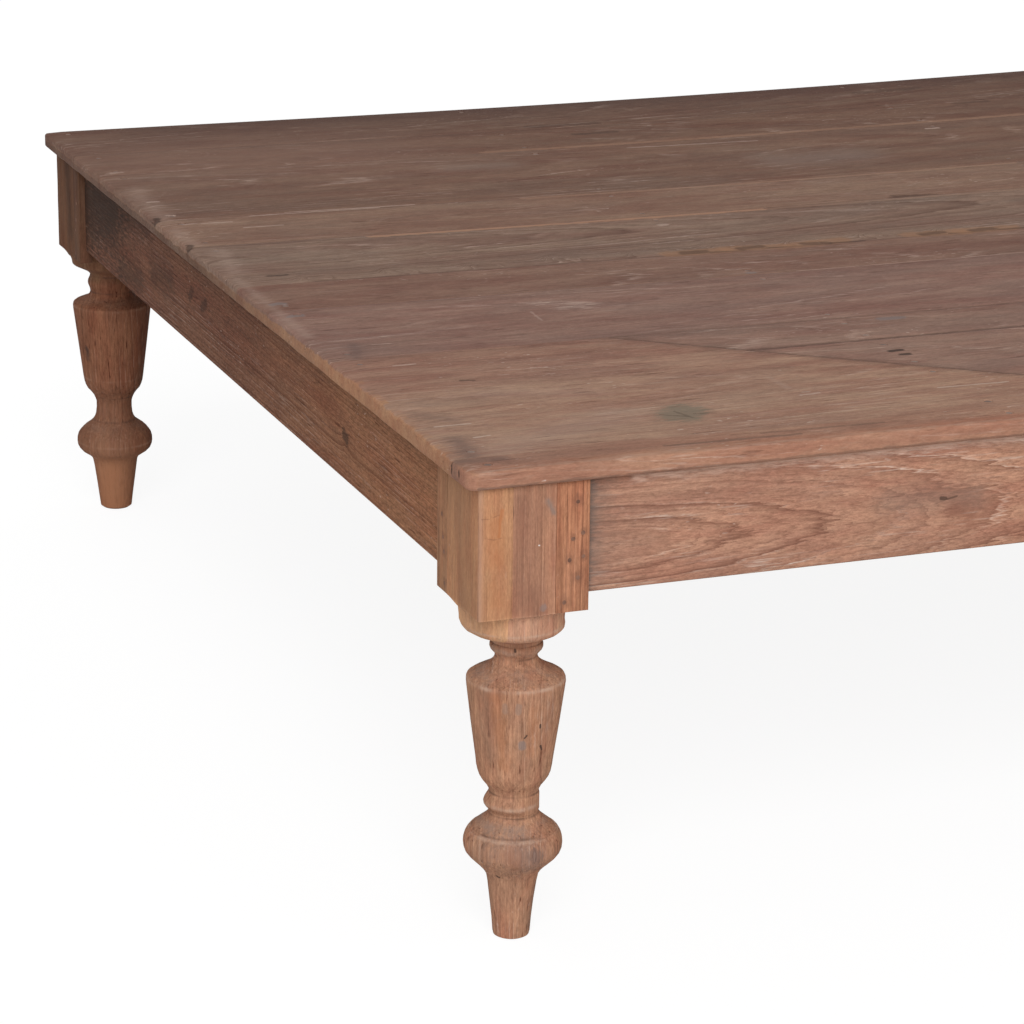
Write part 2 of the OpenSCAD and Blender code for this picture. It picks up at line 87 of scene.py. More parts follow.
class Shop:
    """Adds shader nodes to a tree.

    A value given to a node may be a number, a colour or another node's output.
    """

    def __init__(self, tree):
        self.tree = tree

    def add(self, kind, **settings):
        node = self.tree.nodes.new(kind)
        for key, value in settings.items():
            setattr(node, key, value)
        return node

    def feed(self, socket, value):
        if isinstance(value, bpy.types.NodeSocket):
            self.tree.links.new(value, socket)
        elif socket.type == "RGBA" and len(value) == 3:
            socket.default_value = (*value, 1)
        else:
            socket.default_value = value

    def fill(self, node, values):
        """Feeds a node's inputs, by name or by number."""
        for key, value in values.items():
            self.feed(node.inputs[key], value)
        return node

    def math(self, operation, *values):
        node = self.add("ShaderNodeMath", operation=operation)
        return self.fill(node, dict(enumerate(values))).outputs[0]

    def plus(self, a, b):
        return self.math("ADD", a, b)

    def minus(self, a, b):
        return self.math("SUBTRACT", a, b)

    def times(self, a, b):
        return self.math("MULTIPLY", a, b)

    def times_plus(self, a, b, c):
        """a times b, plus c."""
        return self.math("MULTIPLY_ADD", a, b, c)

    def vector(self, operation, *values):
        node = self.add("ShaderNodeVectorMath", operation=operation)
        self.fill(node, dict(enumerate(values)))
        return node.outputs["Value" if operation in ("LENGTH", "DOT_PRODUCT") else "Vector"]

    def split(self, vector):
        return self.fill(self.add("ShaderNodeSeparateXYZ"), {0: vector}).outputs[:]

    def join(self, x, y, z):
        return self.fill(self.add("ShaderNodeCombineXYZ"), {0: x, 1: y, 2: z}).outputs[0]

    def noise(self, vector, scale, detail, roughness):
        node = self.add("ShaderNodeTexNoise")
        self.fill(node, {
            "Vector": vector, "Scale": scale, "Detail": detail, "Roughness": roughness,
        })
        return node.outputs["Fac"]

    def pattern(self, vector, per_metre, detail, roughness):
        """Noise as fine as is asked along, across and into the wood."""
        return self.noise(self.vector("MULTIPLY", vector, per_metre), 1, detail, roughness)

    def cloud(self, vector, per_metre, detail, roughness):
        """The same noise with its middle at zero."""
        return self.minus(self.pattern(vector, per_metre, detail, roughness), 0.5)

    def step(self, value, low, high, to_low=0.0, to_high=1.0):
        """Rises smoothly from to_low to to_high as the value goes from low to high."""
        node = self.add("ShaderNodeMapRange", interpolation_type="SMOOTHSTEP")
        self.fill(node, {
            "Value": value, "From Min": low, "From Max": high, "To Min": to_low, "To Max": to_high,
        })
        return node.outputs[0]

    def blend(self, factor, a, b):
        """A number between two numbers."""
        node = self.add("ShaderNodeMix", data_type="FLOAT")
        return self.fill(node, {0: factor, 2: a, 3: b}).outputs[0]

    def paint(self, factor, below, above, mode="MIX"):
        """A colour laid over another where the factor says so."""
        node = self.add("ShaderNodeMix", data_type="RGBA", blend_type=mode)
        return self.fill(node, {0: factor, 6: below, 7: above}).outputs[2]

    def coat(self, below, mask, strength, above):
        """A colour laid over another where a mask says so, as strong as is asked."""
        return self.paint(self.times(mask, strength), below, above)

    def use(self, group, **values):
        node = self.add("ShaderNodeGroup", node_tree=group)
        return self.fill(node, {key.capitalize(): values[key] for key in values}).outputs


RING_INPUTS = dict.fromkeys(("Grain", "Seed", "Pith"), "Vector") | dict.fromkeys(
    ("Taper", "Spacing", "Wander", "Bulge"), "Float",
)
MARK_INPUTS = dict.fromkeys(("Place", "Start", "End"), "Vector") | dict.fromkeys(
    ("Width", "Ragged", "Soft", "Through"), "Float",
)
TEAK_INPUTS = RING_INPUTS | dict.fromkeys(("Light", "Dark", "Grey"), "Color") | dict.fromkeys(
    ("Line", "Lime", "Fibre", "Fine", "Short", "Patch", "Grit", "Dashes", "Haze", "Specks"),
    "Float",
)
FIBRE_LEAD = 0.08
LIME = (0.56, 0.43, 0.36)
DEEPER = (0.42, 0.36, 0.36)


def make_group(name, inputs, outputs):
    """An empty node group. Inputs and outputs are names, each with its kind of socket."""
    tree = bpy.data.node_groups.new(name, "ShaderNodeTree")
    for direction, sockets in (("INPUT", inputs), ("OUTPUT", outputs)):
        for label, kind in sockets.items():
            tree.interface.new_socket(label, in_out=direction, socket_type="NodeSocket" + kind)
    shop = Shop(tree)
    return shop, shop.add("NodeGroupInput").outputs, shop.add("NodeGroupOutput").inputs


def make_ring_group():
    """Growth rings of a board, in coordinates along the grain, across it and into the wood."""
    shop, given, result = make_group(
        "growth rings", RING_INPUTS, {"Late wood": "Float", "Early wood": "Float"},
    )
    here = shop.vector("ADD", given["Grain"], given["Seed"])
    along, across, depth = shop.split(shop.vector("SUBTRACT", given["Grain"], given["Pith"]))
    # Single fibres run ahead of each other, so the tips of the arches are jagged
    jag = shop.cloud(here, (14, 190, 190), 3, 0.7)
    along = shop.plus(along, shop.times(jag, FIBRE_LEAD))
    depth = shop.plus(depth, shop.times(given["Taper"], along))
    far = shop.math("SQRT", shop.plus(shop.times(across, across), shop.times(depth, depth)))
    far = shop.plus(far, given["Bulge"])
    sway = shop.cloud(here, (2.2, 9, 9), 3, 0.55)
    far = shop.plus(far, shop.times(sway, given["Wander"]))
    # Some years are wider and some lines fainter than others
    count = shop.math("DIVIDE", far, given["Spacing"])
    years = shop.minus(shop.noise(shop.join(count, 0.0, 0.0), 0.45, 2, 0.6), 0.5)
    phase = shop.math("FRACT", shop.times_plus(years, 2.6, count))
    clear = shop.step(shop.noise(shop.join(count, 5.0, 0.0), 0.6, 1, 0.5), 0.35, 0.65, 0.3, 1.0)
    soft_side = shop.times(shop.math("POWER", phase, 2.2), 0.40)
    line = shop.times_plus(shop.math("POWER", phase, 5), 0.60, soft_side)
    line = shop.times(clear, shop.times(line, shop.step(phase, 1.0, 0.95)))
    # Fainter lines lie between the years
    between = shop.math("FRACT", shop.times_plus(years, 5.0, shop.times(count, 3.0)))
    between = shop.times(shop.math("POWER", between, 5), 0.48)
    shop.feed(result["Late wood"], shop.math("MAXIMUM", line, between))
    early = shop.times(shop.step(phase, 0.0, 0.03), shop.step(phase, 0.20, 0.05))
    shop.feed(result["Early wood"], early)
    return shop.tree


def make_mark_group():
    """A ragged stroke from one place to another.

    It gives a mask with a worn edge, and a bell that fades out slowly.
    """
    shop, given, result = make_group("mark", MARK_INPUTS, {"Mask": "Float", "Bell": "Float"})
    in_plane = shop.join(1.0, 1.0, shop.minus(1.0, given["Through"]))
    reach = shop.vector("SUBTRACT", given["Place"], given["Start"])
    reach = shop.vector("MULTIPLY", reach, in_plane)
    stroke = shop.vector("SUBTRACT", given["End"], given["Start"])
    stroke = shop.vector("MULTIPLY", stroke, in_plane)
    length = shop.plus(shop.vector("DOT_PRODUCT", stroke, stroke), 1e-9)
    share = shop.math("DIVIDE", shop.vector("DOT_PRODUCT", reach, stroke), length)
    share = shop.math("MINIMUM", shop.math("MAXIMUM", share, 0.0), 1.0)
    nearest = shop.vector("MULTIPLY", stroke, shop.join(share, share, share))
    far = shop.vector("LENGTH", shop.vector("SUBTRACT", reach, nearest))
    rough = shop.cloud(given["Place"], (85, 330, 330), 3, 0.6)
    edge = shop.math("DIVIDE", far, given["Width"])
    edge = shop.plus(edge, shop.times(rough, given["Ragged"]))
    mask = shop.step(edge, shop.plus(1.0, given["Soft"]), shop.minus(1.0, given["Soft"]))
    shop.feed(result["Mask"], mask)
    edge = shop.math("MAXIMUM", edge, 0.0)
    fade = shop.times(shop.times(edge, edge), -1.6)
    shop.feed(result["Bell"], shop.math("POWER", 2.718, fade))
    return shop.tree


def make_teak_group():
    """Old teak: rings, fibres, grey haze, dark dashes, lime left in the grain and pale specks."""
    shop, given, result = make_group(
        "teak", TEAK_INPUTS, {"Colour": "Color", "Roughness": "Float", "Height": "Float"},
    )
    rings = shop.use(RINGS, **{name: given[name] for name in RING_INPUTS})
    here = shop.vector("ADD", given["Grain"], given["Seed"])
    there = shop.vector("ADD", here, (7.1, 3.3, 5.7))
    # Fine makes the fibres thinner, Short makes them shorter and Patch makes the patches smaller
    thin = shop.join(given["Short"], given["Fine"], given["Fine"])
    patch = shop.join(given["Patch"], given["Patch"], given["Patch"])
    fibres_here, fibres_there, patches_here, patches_there = (
        shop.vector("MULTIPLY", place, size) for size in (thin, patch) for place in (here, there)
    )
    tone = shop.step(shop.pattern(patches_here, (6, 28, 28), 5, 0.68), 0.33, 0.67)
    colour = shop.paint(tone, given["Dark"], given["Light"])
    haze = shop.step(shop.pattern(patches_there, (4.5, 14, 14), 5, 0.66), 0.42, 0.66)
    colour = shop.coat(colour, haze, given["Haze"], given["Grey"])
    # Fibres and grit make the colour lighter and darker
    coarse = shop.pattern(fibres_here, (16, 95, 95), 3, 0.65)
    fine = shop.pattern(fibres_there, (48, 300, 300), 3, 0.7)
    fibre = shop.blend(0.62, coarse, fine)
    grit = shop.pattern(here, (210, 640, 640), 2, 0.7)
    shade = shop.times_plus(shop.minus(fibre, 0.5), given["Fibre"], 1.0)
    shade = shop.times_plus(shop.minus(grit, 0.5), given["Grit"], shade)
    colour = shop.paint(1.0, colour, shade, "MULTIPLY")
    # Late wood and dashes are dark
    deep = shop.paint(1.0, given["Dark"], DEEPER, "MULTIPLY")
    colour = shop.coat(colour, rings["Late wood"], given["Line"], deep)
    dashes = shop.step(shop.pattern(fibres_here, (26, 270, 270), 2, 0.6), 0.62, 0.74)
    colour = shop.coat(colour, dashes, given["Dashes"], deep)
    # Lime lies in patches, in the pores of the early wood and along single fibres
    patches = shop.step(shop.pattern(here, (7, 19, 19), 3, 0.6), 0.44, 0.66)
    threads = shop.step(shop.pattern(fibres_there, (24, 320, 320), 2, 0.6), 0.56, 0.72)
    broken = shop.times(rings["Early wood"], shop.step(fine, 0.42, 0.58, 0.2, 1.0))
    pale = shop.times(shop.math("MAXIMUM", shop.times(threads, 0.6), broken), patches)
    colour = shop.coat(colour, pale, given["Lime"], LIME)
    flecks = shop.step(shop.pattern(here, (120, 330, 330), 1, 0.5), 0.68, 0.75)
    where = shop.step(shop.pattern(there, (8, 14, 14), 2, 0.5), 0.5, 0.66)
    colour = shop.coat(colour, shop.times(flecks, where), given["Specks"], LIME)
    shop.feed(result["Colour"], colour)
    shop.feed(result["Roughness"], shop.step(fibre, 0.3, 0.8, 0.6, 0.85))
    height = shop.minus(fibre, shop.times(dashes, 0.5))
    height = shop.times_plus(grit, 0.35, height)
    height = shop.plus(height, shop.times(rings["Late wood"], 0.4))
    shop.feed(result["Height"], height)
    return shop.tree


RINGS = make_ring_group()
MARK = make_mark_group()
TEAK = make_teak_group()

# How much stronger red, green and blue are at the light, the dark and the dull end of a colour
LIGHTER, DARKER, DULLER = (1.11, 1.16, 1.12), (0.88, 0.80, 0.79), (0.86, 0.95, 0.98)
SEED_STEPS = (3.7, 1.3, 2.1)
TEAK_SHINE, IRON_SHINE = 0.02, 0.1
# Strength and depth of the relief
TEAK_RELIEF, IRON_RELIEF = (0.8, 0.0007), (1.0, 0.0003)
MARK_SOFT, KNOT_SOFT = 0.4, 0.3
TEAK_LOOKS = dict(
    pith=(0, 0, 0), taper=0.0, spacing=0.009, wander=0.02, line=0.3, lime=0.3, fibre=0.5,
    fine=1.3, short=1.0, patch=1.0, grit=0.5, dashes=0.3, haze=0.4, specks=0.3,
)


def new_finish(name, shine):
    """A material, the shop for its nodes and the inputs of its surface."""
    material = bpy.data.materials.new(name)
    material.use_nodes = True
    surface = material.node_tree.nodes["Principled BSDF"].inputs
    surface["Specular IOR Level"].default_value = shine
    return material, Shop(material.node_tree), surface


def make_relief(shop, surface, height, strength, distance):
    bump = shop.add("ShaderNodeBump")
    bump.inputs["Strength"].default_value = strength
    bump.inputs["Distance"].default_value = distance
    shop.feed(bump.inputs["Height"], height)
    shop.feed(surface["Normal"], bump.outputs[0])


def grain_along(shop, axis):
    """Object coordinates turned so that the first runs along the grain and the third inwards."""
    x, y, z = shop.split(shop.add("ShaderNodeTexCoord").outputs["Object"])
    orders = {"X": (x, y, z), "X upright": (x, z, y), "Y upright": (y, z, x), "Z": (z, x, y)}
    return shop.join(*orders[axis])


def toned(colour, shares):
    """A colour with its red, green and blue made stronger or weaker."""
    return tuple(part * share for part, share in zip(colour, shares))


def lights_and_darks(colour):
    """The ends of a board's colour: a lighter, more olive one, a darker, redder one, a dull one."""
    return [toned(colour, shares) for shares in (LIGHTER, DARKER, DULLER)]


def teak(name, axis, colour, seed, knots=(), marks=(), hazes=(), bands=(), through=1.0,
         tint=None, **values):
    """A teak finish.

    A knot is a start, an end, a width and how far it pushes the rings. A mark is a start, an end,
    a width, a colour, a strength and how ragged it is. It runs through the whole thickness, unless
    a last 0 keeps it near its own depth, and a place on it that has two numbers is at depth 0.
    A haze is given the same way and has no edge. A band is a mark right round a turned leg, with
    a height in place of the start and the end. Tint changes the colour before the grain is drawn.
    """
    material, shop, surface = new_finish(name, TEAK_SHINE)
    grain = grain_along(shop, axis)
    looks = TEAK_LOOKS | values
    shades = lights_and_darks(colour)
    for mask, over, changed in (tint(shop, grain) if tint else ()):
        pairs = zip(shades, lights_and_darks(over))
        shades = [shop.paint(mask, shade, over_shade) for shade, over_shade in pairs]
        for key, value in changed.items():
            looks[key] = shop.blend(mask, looks[key], value)
    light, dark, grey = shades

    def stroke(start, end, width, ragged, through, soft=MARK_SOFT):
        return shop.use(
            MARK, place=grain, start=(*start, 0)[:3], end=(*end, 0)[:3], width=width,
            ragged=ragged, soft=soft, through=through,
        )

    bulge = 0.0
    for start, end, width, push in knots:
        eye = stroke(start, end, width, 0.0, through, KNOT_SOFT)
        bulge = shop.plus(bulge, shop.times(eye["Bell"], push))
    shift = tuple(seed * step for step in SEED_STEPS)
    wood = shop.use(
        TEAK, grain=grain, seed=shift, bulge=bulge, light=light, dark=dark, grey=grey, **looks,
    )
    coat = wood["Colour"]
    for start, end, width, ink, strength, ragged in hazes:
        coat = shop.coat(coat, stroke(start, end, width, ragged, through)["Bell"], strength, ink)
    if bands:
        gaps = shop.step(shop.pattern(grain, (45, 45, 45), 3, 0.6), 0.38, 0.62, 0.15, 1.0)
    for height, width, ink, strength, ragged in bands:
        ring = stroke((height, -2), (height, 2), width, ragged, 1.0)
        coat = shop.coat(coat, ring["Bell"], shop.times(gaps, strength), ink)
    for start, end, width, ink, strength, ragged, *depth in marks:
        mark = stroke(start, end, width, ragged, depth[0] if depth else through)
        coat = shop.coat(coat, mark["Mask"], strength, ink)
    shop.feed(surface["Base Color"], coat)
    shop.feed(surface["Roughness"], wood["Roughness"])
    make_relief(shop, surface, wood["Height"], *TEAK_RELIEF)
    return material


def iron(name, bare, rusty):
    """Old nail heads, rough and brown."""
    material, shop, surface = new_finish(name, IRON_SHINE)
    place = shop.add("ShaderNodeTexCoord").outputs["Object"]
    rust = shop.step(shop.noise(place, 90, 4, 0.6), 0.4, 0.6)
    shop.feed(surface["Base Color"], shop.paint(rust, bare, rusty))
    shop.feed(surface["Roughness"], shop.blend(rust, 0.7, 0.9))
    make_relief(shop, surface, rust, *IRON_RELIEF)
    return material


# Camera, light and floor

def set_camera():
    """Looks down on the near left corner with a long lens."""
    yaw, pitch, roll = (math.radians(turn) for turn in CAMERA_TURNS)
    forward = Vector((
        math.sin(yaw) * math.cos(pitch),
        math.cos(yaw) * math.cos(pitch),
        -math.sin(pitch),
    ))
    level = Vector((math.cos(yaw), -math.sin(yaw), 0))
    down = forward.cross(level)
    side = level * math.cos(roll) + down * math.sin(roll)
    up = level * math.sin(roll) - down * math.cos(roll)
    bpy.ops.object.camera_add()
    camera = bpy.context.object
    turn = Matrix((side, up, -forward)).transposed().to_4x4()
    camera.matrix_world = Matrix.Translation(CAMERA_PLACE) @ turn
    camera.data.lens = LENS
    camera.data.sensor_width = SENSOR
    camera.data.clip_end = 100
    bpy.context.scene.camera = camera


def set_light():
    """A white sky and one very soft sun, high in front and a little to the left."""
    scene = bpy.context.scene
    scene.view_settings.view_transform = "Standard"
    world = bpy.data.worlds.new("studio")
    scene.world = world
    world.use_nodes = True
    sky = Shop(world.node_tree)
    rays = sky.add("ShaderNodeLightPath").outputs
    seen = sky.math("MAXIMUM", rays["Is Camera Ray"], rays["Is Transmission Ray"])
    background = world.node_tree.nodes["Background"]
    background.inputs["Color"].default_value = (1, 1, 1, 1)
    sky.feed(background.inputs["Strength"], sky.blend(seen, SKY_STRENGTH, 1.0))
    bpy.ops.object.light_add(type="SUN")
    sun = bpy.context.object
    sun.data.energy = SUN_STRENGTH
    sun.data.angle = math.radians(SUN_SPREAD)
    sun.rotation_mode = "QUATERNION"
    sun.rotation_quaternion = (-Vector(TO_THE_SUN)).to_track_quat("-Z", "Y")


def lay_floor():
    """A white floor. In the camera's view most of its light is its own, so its shadow is faint."""
    bpy.ops.mesh.primitive_plane_add(size=FLOOR_SIZE, location=(0, 0, 0))
    floor = bpy.context.object
    floor.name = "floor"
    material, shop, surface = new_finish("floor", 0.0)
    in_view = shop.add("ShaderNodeLightPath").outputs["Is Camera Ray"]
    colour = shop.paint(in_view, (FLOOR_WHITE,) * 3, (FLOOR_SHADE,) * 3)
    shop.feed(surface["Base Color"], colour)
    surface["Roughness"].default_value = 0.9
    surface["Emission Color"].default_value = (1, 1, 1, 1)
    shop.feed(surface["Emission Strength"], shop.times(in_view, FLOOR_IN_VIEW - FLOOR_SHADE))
    floor.data.materials.append(material)


set_camera()
set_light()
lay_floor()


# Hand work on the meshes

SMOOTH_BELOW = 32


def take_up(piece):
    """Deselects everything else and makes the piece the one that is worked on."""
    bpy.ops.object.select_all(action="DESELECT")
    piece.select_set(True)
    bpy.context.view_layer.objects.active = piece


def open_up(piece, kind="FACE"):
    take_up(piece)
    bpy.ops.object.mode_set(mode="EDIT")
    bpy.ops.mesh.select_mode(type=kind)
    bpy.ops.mesh.select_all(action="DESELECT")


def close_up():
    bpy.ops.object.mode_set(mode="OBJECT")


def pick(piece, kind, wanted):
    """Opens a piece and selects its edges or faces that pass a test."""
    open_up(piece, kind)
    mesh = bmesh.from_edit_mesh(piece.data)
    for part in mesh.edges if kind == "EDGE" else mesh.faces:
        part.select_set(wanted(part))
    bmesh.update_edit_mesh(piece.data)


def settle(piece):
    """Makes the place, the turn and the size of a piece part of its mesh."""
    take_up(piece)
    bpy.ops.object.transform_apply(location=True, rotation=True, scale=True)
    return piece


def block(name, low, high):
    """A block between two corners."""
    low, high = Vector(low), Vector(high)
    bpy.ops.mesh.primitive_cube_add(size=1, location=(low + high) / 2)
    piece = bpy.context.object
    piece.name = piece.data.name = name
    piece.scale = high - low
    return settle(piece)


def round_edges(piece, wanted, radius, segments):
    """Bevels the edges whose two ends pass a test."""
    pick(piece, "EDGE", lambda edge: wanted(edge.verts[0].co, edge.verts[1].co))
    bpy.ops.mesh.bevel(offset=radius, segments=segments, affect="EDGES", clamp_overlap=True)
    close_up()


def cut(point, normal, **kept):
    """Cuts right through the open piece."""
    bpy.ops.mesh.select_all(action="SELECT")
    bpy.ops.mesh.bisect(plane_co=point, plane_no=normal, **kept)


def slice_up(piece, axis, step):
    """Cuts loops across a piece at even steps, so that it can bend and wear."""
    low = min(v.co[axis] for v in piece.data.vertices)
    high = max(v.co[axis] for v in piece.data.vertices)
    count = max(1, round((high - low) / step))
    open_up(piece)
    for i in range(1, count):
        point, normal = Vector(), Vector()
        point[axis] = low + (high - low) * i / count
        normal[axis] = 1
        cut(point, normal)
    close_up()


def saw_off(piece, point, away):
    """Saws through a piece and throws away the part on the side that away points to."""
    open_up(piece)
    cut(point, away, use_fill=True, clear_outer=True)
    close_up()


def carve(piece, cutter, operation="DIFFERENCE"):
    """Cuts one piece with another and throws the cutter away."""
    take_up(piece)
    modifier = piece.modifiers.new("carve", "BOOLEAN")
    modifier.object = cutter
    modifier.operation = operation
    modifier.solver = "MANIFOLD"
    bpy.ops.object.modifier_apply(modifier=modifier.name)
    bpy.data.objects.remove(cutter)


def copy_of(piece, name):
    """A copy with its own mesh."""
    twin = piece.copy()
    twin.data = piece.data.copy()
    twin.name = twin.data.name = name
    bpy.context.scene.collection.objects.link(twin)
    return twin


def join_up(pieces, name):
    """Makes one piece of several."""
    take_up(pieces[0])
    for piece in pieces:
        piece.select_set(True)
    bpy.ops.object.join()
    pieces[0].name = pieces[0].data.name = name
    return pieces[0]


def wear_down(piece, depth, grain, where=None):
    """Presses the surface in by a cloudy pattern, all over or only at points that pass a test."""
    take_up(piece)
    clouds = bpy.data.textures.new("worn", "CLOUDS")
    clouds.noise_scale = grain
    modifier = piece.modifiers.new("worn", "DISPLACE")
    modifier.texture = clouds
    modifier.texture_coords = "LOCAL"
    modifier.mid_level = 0
    modifier.strength = -depth
    if where:
        group = piece.vertex_groups.new(name="worn")
        group.add([v.index for v in piece.data.vertices if where(v.co)], 1.0, "REPLACE")
        modifier.vertex_group = group.name
    bpy.ops.object.modifier_apply(modifier=modifier.name)
    piece.vertex_groups.clear()


def finish_piece(piece, material, node):
    """Shades a piece, gives it its finish and puts it in the place of a CAD node."""
    take_up(piece)
    bpy.ops.object.shade_smooth_by_angle(angle=math.radians(SMOOTH_BELOW))
    piece.data.materials.clear()
    piece.data.materials.append(material)
    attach(piece, "root")
    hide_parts(node)


def islands(node):
    """The loose solids of a CAD node, each as its lowest and highest corner."""
    mesh = bmesh.new()
    mesh.from_mesh(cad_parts[node].data)
    bmesh.ops.remove_doubles(mesh, verts=mesh.verts, dist=1e-6)
    found, left = [], set(mesh.verts)
    while left:
        edge, seen = [left.pop()], []
        while edge:
            corner = edge.pop()
            seen.append(corner.co.copy())
            for joined in corner.link_edges:
                other = joined.other_vert(corner)
                if other in left:
                    left.remove(other)
                    edge.append(other)
        low = Vector([min(p[i] for p in seen) for i in range(3)])
        high = Vector([max(p[i] for p in seen) for i in range(3)])
        found.append((low, high))
    mesh.free()
    return sorted(found, key=lambda box: tuple(round(c, 4) for c in box[0]))


# The top

TOP_BOARDS = [
    "top_front_strip", "top_wide_plank", "top_front_fill_plank", "top_back_fill_plank",
    "top_plank_2", "top_plank_3", "top_plank_4", "top_plank_5", "top_plank_6", "top_plank_7",
    "top_rear_plank",
]
TOP_NAIL_NODES = [
    "top_nails_left", "top_nails_left_bearer", "top_nails_right_bearer", "top_nails_right",
]
JOINTS = {name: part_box("top_" + name)[0].y for name in (
    "wide_plank", "plank_2", "plank_3", "plank_4", "plank_5", "plank_6", "plank_7", "rear_plank",
)}

# The slanted cut runs from the wide plank's back to its front, past the joint of the two fillers
WIDE_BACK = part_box("top_back_fill_plank")[1].y
FILL_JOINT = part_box("top_back_fill_plank")[0].y
FILL_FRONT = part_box("top_front_fill_plank")[0].y
CUT_BACK = Vector((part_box("top_back_fill_plank")[0].x, WIDE_BACK, 0))
CUT_MIDDLE = Vector((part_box("top_front_fill_plank")[0].x, FILL_JOINT, 0))
CUT_RUN = CUT_MIDDLE - CUT_BACK
CUT_FRONT = CUT_MIDDLE + CUT_RUN * (FILL_JOINT - FILL_FRONT) / (WIDE_BACK - FILL_JOINT)
CUT_RIGHT = Vector((-CUT_RUN.y, CUT_RUN.x, 0)).normalized()

FRONT_CORNER, REAR_CORNER = 0.010, 0.004
UPPER_EDGE, LOWER_EDGE, SAWN_EDGE, STEEP = 0.0062, 0.0068, 0.0006, 1.2
SLICE_ALONG, SLICE_ACROSS = 0.02, 0.03
TOUCH = 0.001
RIM_WIDTH, RIM_WEAR, RIM_GRAIN = 0.010, 0.0016, 0.030
# Each chip at the left end: its place along the end, half its width and half its thickness
CHIPS = [(JOINTS["plank_6"] + 0.004, 0.007, 0.0038), (JOINTS["plank_5"] + 0.003, 0.008, 0.0034)]
CHIP_TILT, CHIP_TURN = 45, 8
CHIP_IN, CHIP_UP = 0.0015, 0.0005
CHIP_STEP, CHIP_WEAR, CHIP_GRAIN = 0.004, 0.002, 0.006

# The sag at the middle of the back edge, and how far back across the top it is complete. The
# lattice gives less than its points move, and CAGE_LOSS makes up for that.
SAG, FULL_SAG_AT = 0.0055, 0.8
CAGE_POINTS, CAGE_LOSS = (7, 6, 2), 1.15

# Nail heads. The depths are those of the middle of a dent and of a head under the top
HEAD_SIDES, HEAD_THICK, HEAD_EDGE = 14, 0.0014, 0.0004
DENT_THICK, DENT_DEPTH, HEAD_DEPTH, SMALL_HEAD_DEPTH = 0.002, 0.0004, 0.0013, 0.0006
# As shares of the head's width: the dent's bottom and mouth, the shank's inset, the unevenness
DENT_BOTTOM, DENT_MOUTH, SHANK_INSET, OUT_OF_ROUND = 0.52, 0.75, 0.28, 0.10
SHANK_LOSS = 0.003
FACINGS = {
    "up": (0, 0, 0), "front": (90, 0, 0), "back": (-90, 0, 0), "left": (0, -90, 0),
    "right": (0, 90, 0),
}


def top_nails(node, depth):
    """The nails of a row: the middle of each head at a depth, its width and its length."""
    for low, high in islands(node):
        place = Vector(((low.x + high.x) / 2, (low.y + high.y) / 2, TOP_HIGH.z - depth))
        yield place, high.x - low.x, high.z - low.z


def nail_pits():
    """A cutter for the dents round the nail heads of the top."""
    pits = []
    for node in TOP_NAIL_NODES:
        for place, wide, _ in top_nails(node, DENT_DEPTH):
            bpy.ops.mesh.primitive_cone_add(
                vertices=HEAD_SIDES, radius1=wide * DENT_BOTTOM, radius2=wide * DENT_MOUTH,
                depth=DENT_THICK, location=place,
            )
            pits.append(settle(bpy.context.object))
    return join_up(pits, "nail pits")


def nail_head(place, wide, facing, shank, index):
    """One hammered nail head with a stub of its shank. Each is a little out of round."""
    bpy.ops.mesh.primitive_cylinder_add(vertices=HEAD_SIDES, radius=wide / 2, depth=HEAD_THICK)
    head = bpy.context.object
    pick(head, "EDGE", lambda edge: min(edge.verts[0].co.z, edge.verts[1].co.z) > 0)
    bpy.ops.mesh.bevel(offset=HEAD_EDGE, segments=2, affect="EDGES")
    close_up()
    pick(head, "FACE", lambda face: face.normal.z < -0.9)
    bpy.ops.mesh.inset(thickness=wide * SHANK_INSET)
    bpy.ops.mesh.extrude_region_move(TRANSFORM_OT_translate={"value": (0, 0, -shank)})
    close_up()
    head.scale.x += OUT_OF_ROUND * math.sin(index * 2.4)
    head.scale.y += OUT_OF_ROUND * math.sin(index * 1.7)
    settle(head)
    head.rotation_euler = [math.radians(angle) for angle in FACINGS[facing]]
    head.location = place
    return settle(head)


def make_slab():
    """The whole top in one piece, with rounded corners and edges, to be sawn into boards."""
    def upright(a, b):
        return abs(a.z - b.z) > 0.01

    def at_height(z):
        return lambda a, b: max(abs(a.z - z), abs(b.z - z)) < 1e-5

    slab = block("slab", TOP_LOW, TOP_HIGH)
    round_edges(slab, lambda a, b: upright(a, b) and a.y < 0, FRONT_CORNER, 5)
    round_edges(
        slab, lambda a, b: upright(a, b) and a.y > 0.6 and a.x * b.x > 0, REAR_CORNER, 4,
    )
    round_edges(slab, at_height(TOP_HIGH.z), UPPER_EDGE, 6)
    round_edges(slab, at_height(TOP_LOW.z), LOWER_EDGE, 5)
    slice_up(slab, 0, SLICE_ALONG)
    slice_up(slab, 1, SLICE_ACROSS)
    carve(slab, nail_pits())
    return slab


def saw_board(slab, node):
    """One board of the top, sawn out of a copy of the slab."""
    low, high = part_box(node)
    board = copy_of(slab, node.replace("top_", "board_"))
    if low.y > TOP_LOW.y + TOUCH:
        saw_off(board, Vector((0, low.y, 0)), Vector((0, -1, 0)))
    if high.y < TOP_HIGH.y - TOUCH:
        saw_off(board, Vector((0, high.y, 0)), Vector((0, 1, 0)))
    if node == "top_wide_plank":
        # To the right of the cut only the tongue in front of the filling planks is left
        room = block("room", (CUT_BACK.x, FILL_FRONT, 0.3), (1, high.y + 0.01, 0.5))
        saw_off(room, CUT_BACK, -CUT_RIGHT)
        carve(board, room)
    elif "fill" in node:
        saw_off(board, CUT_BACK, -CUT_RIGHT)
    return board


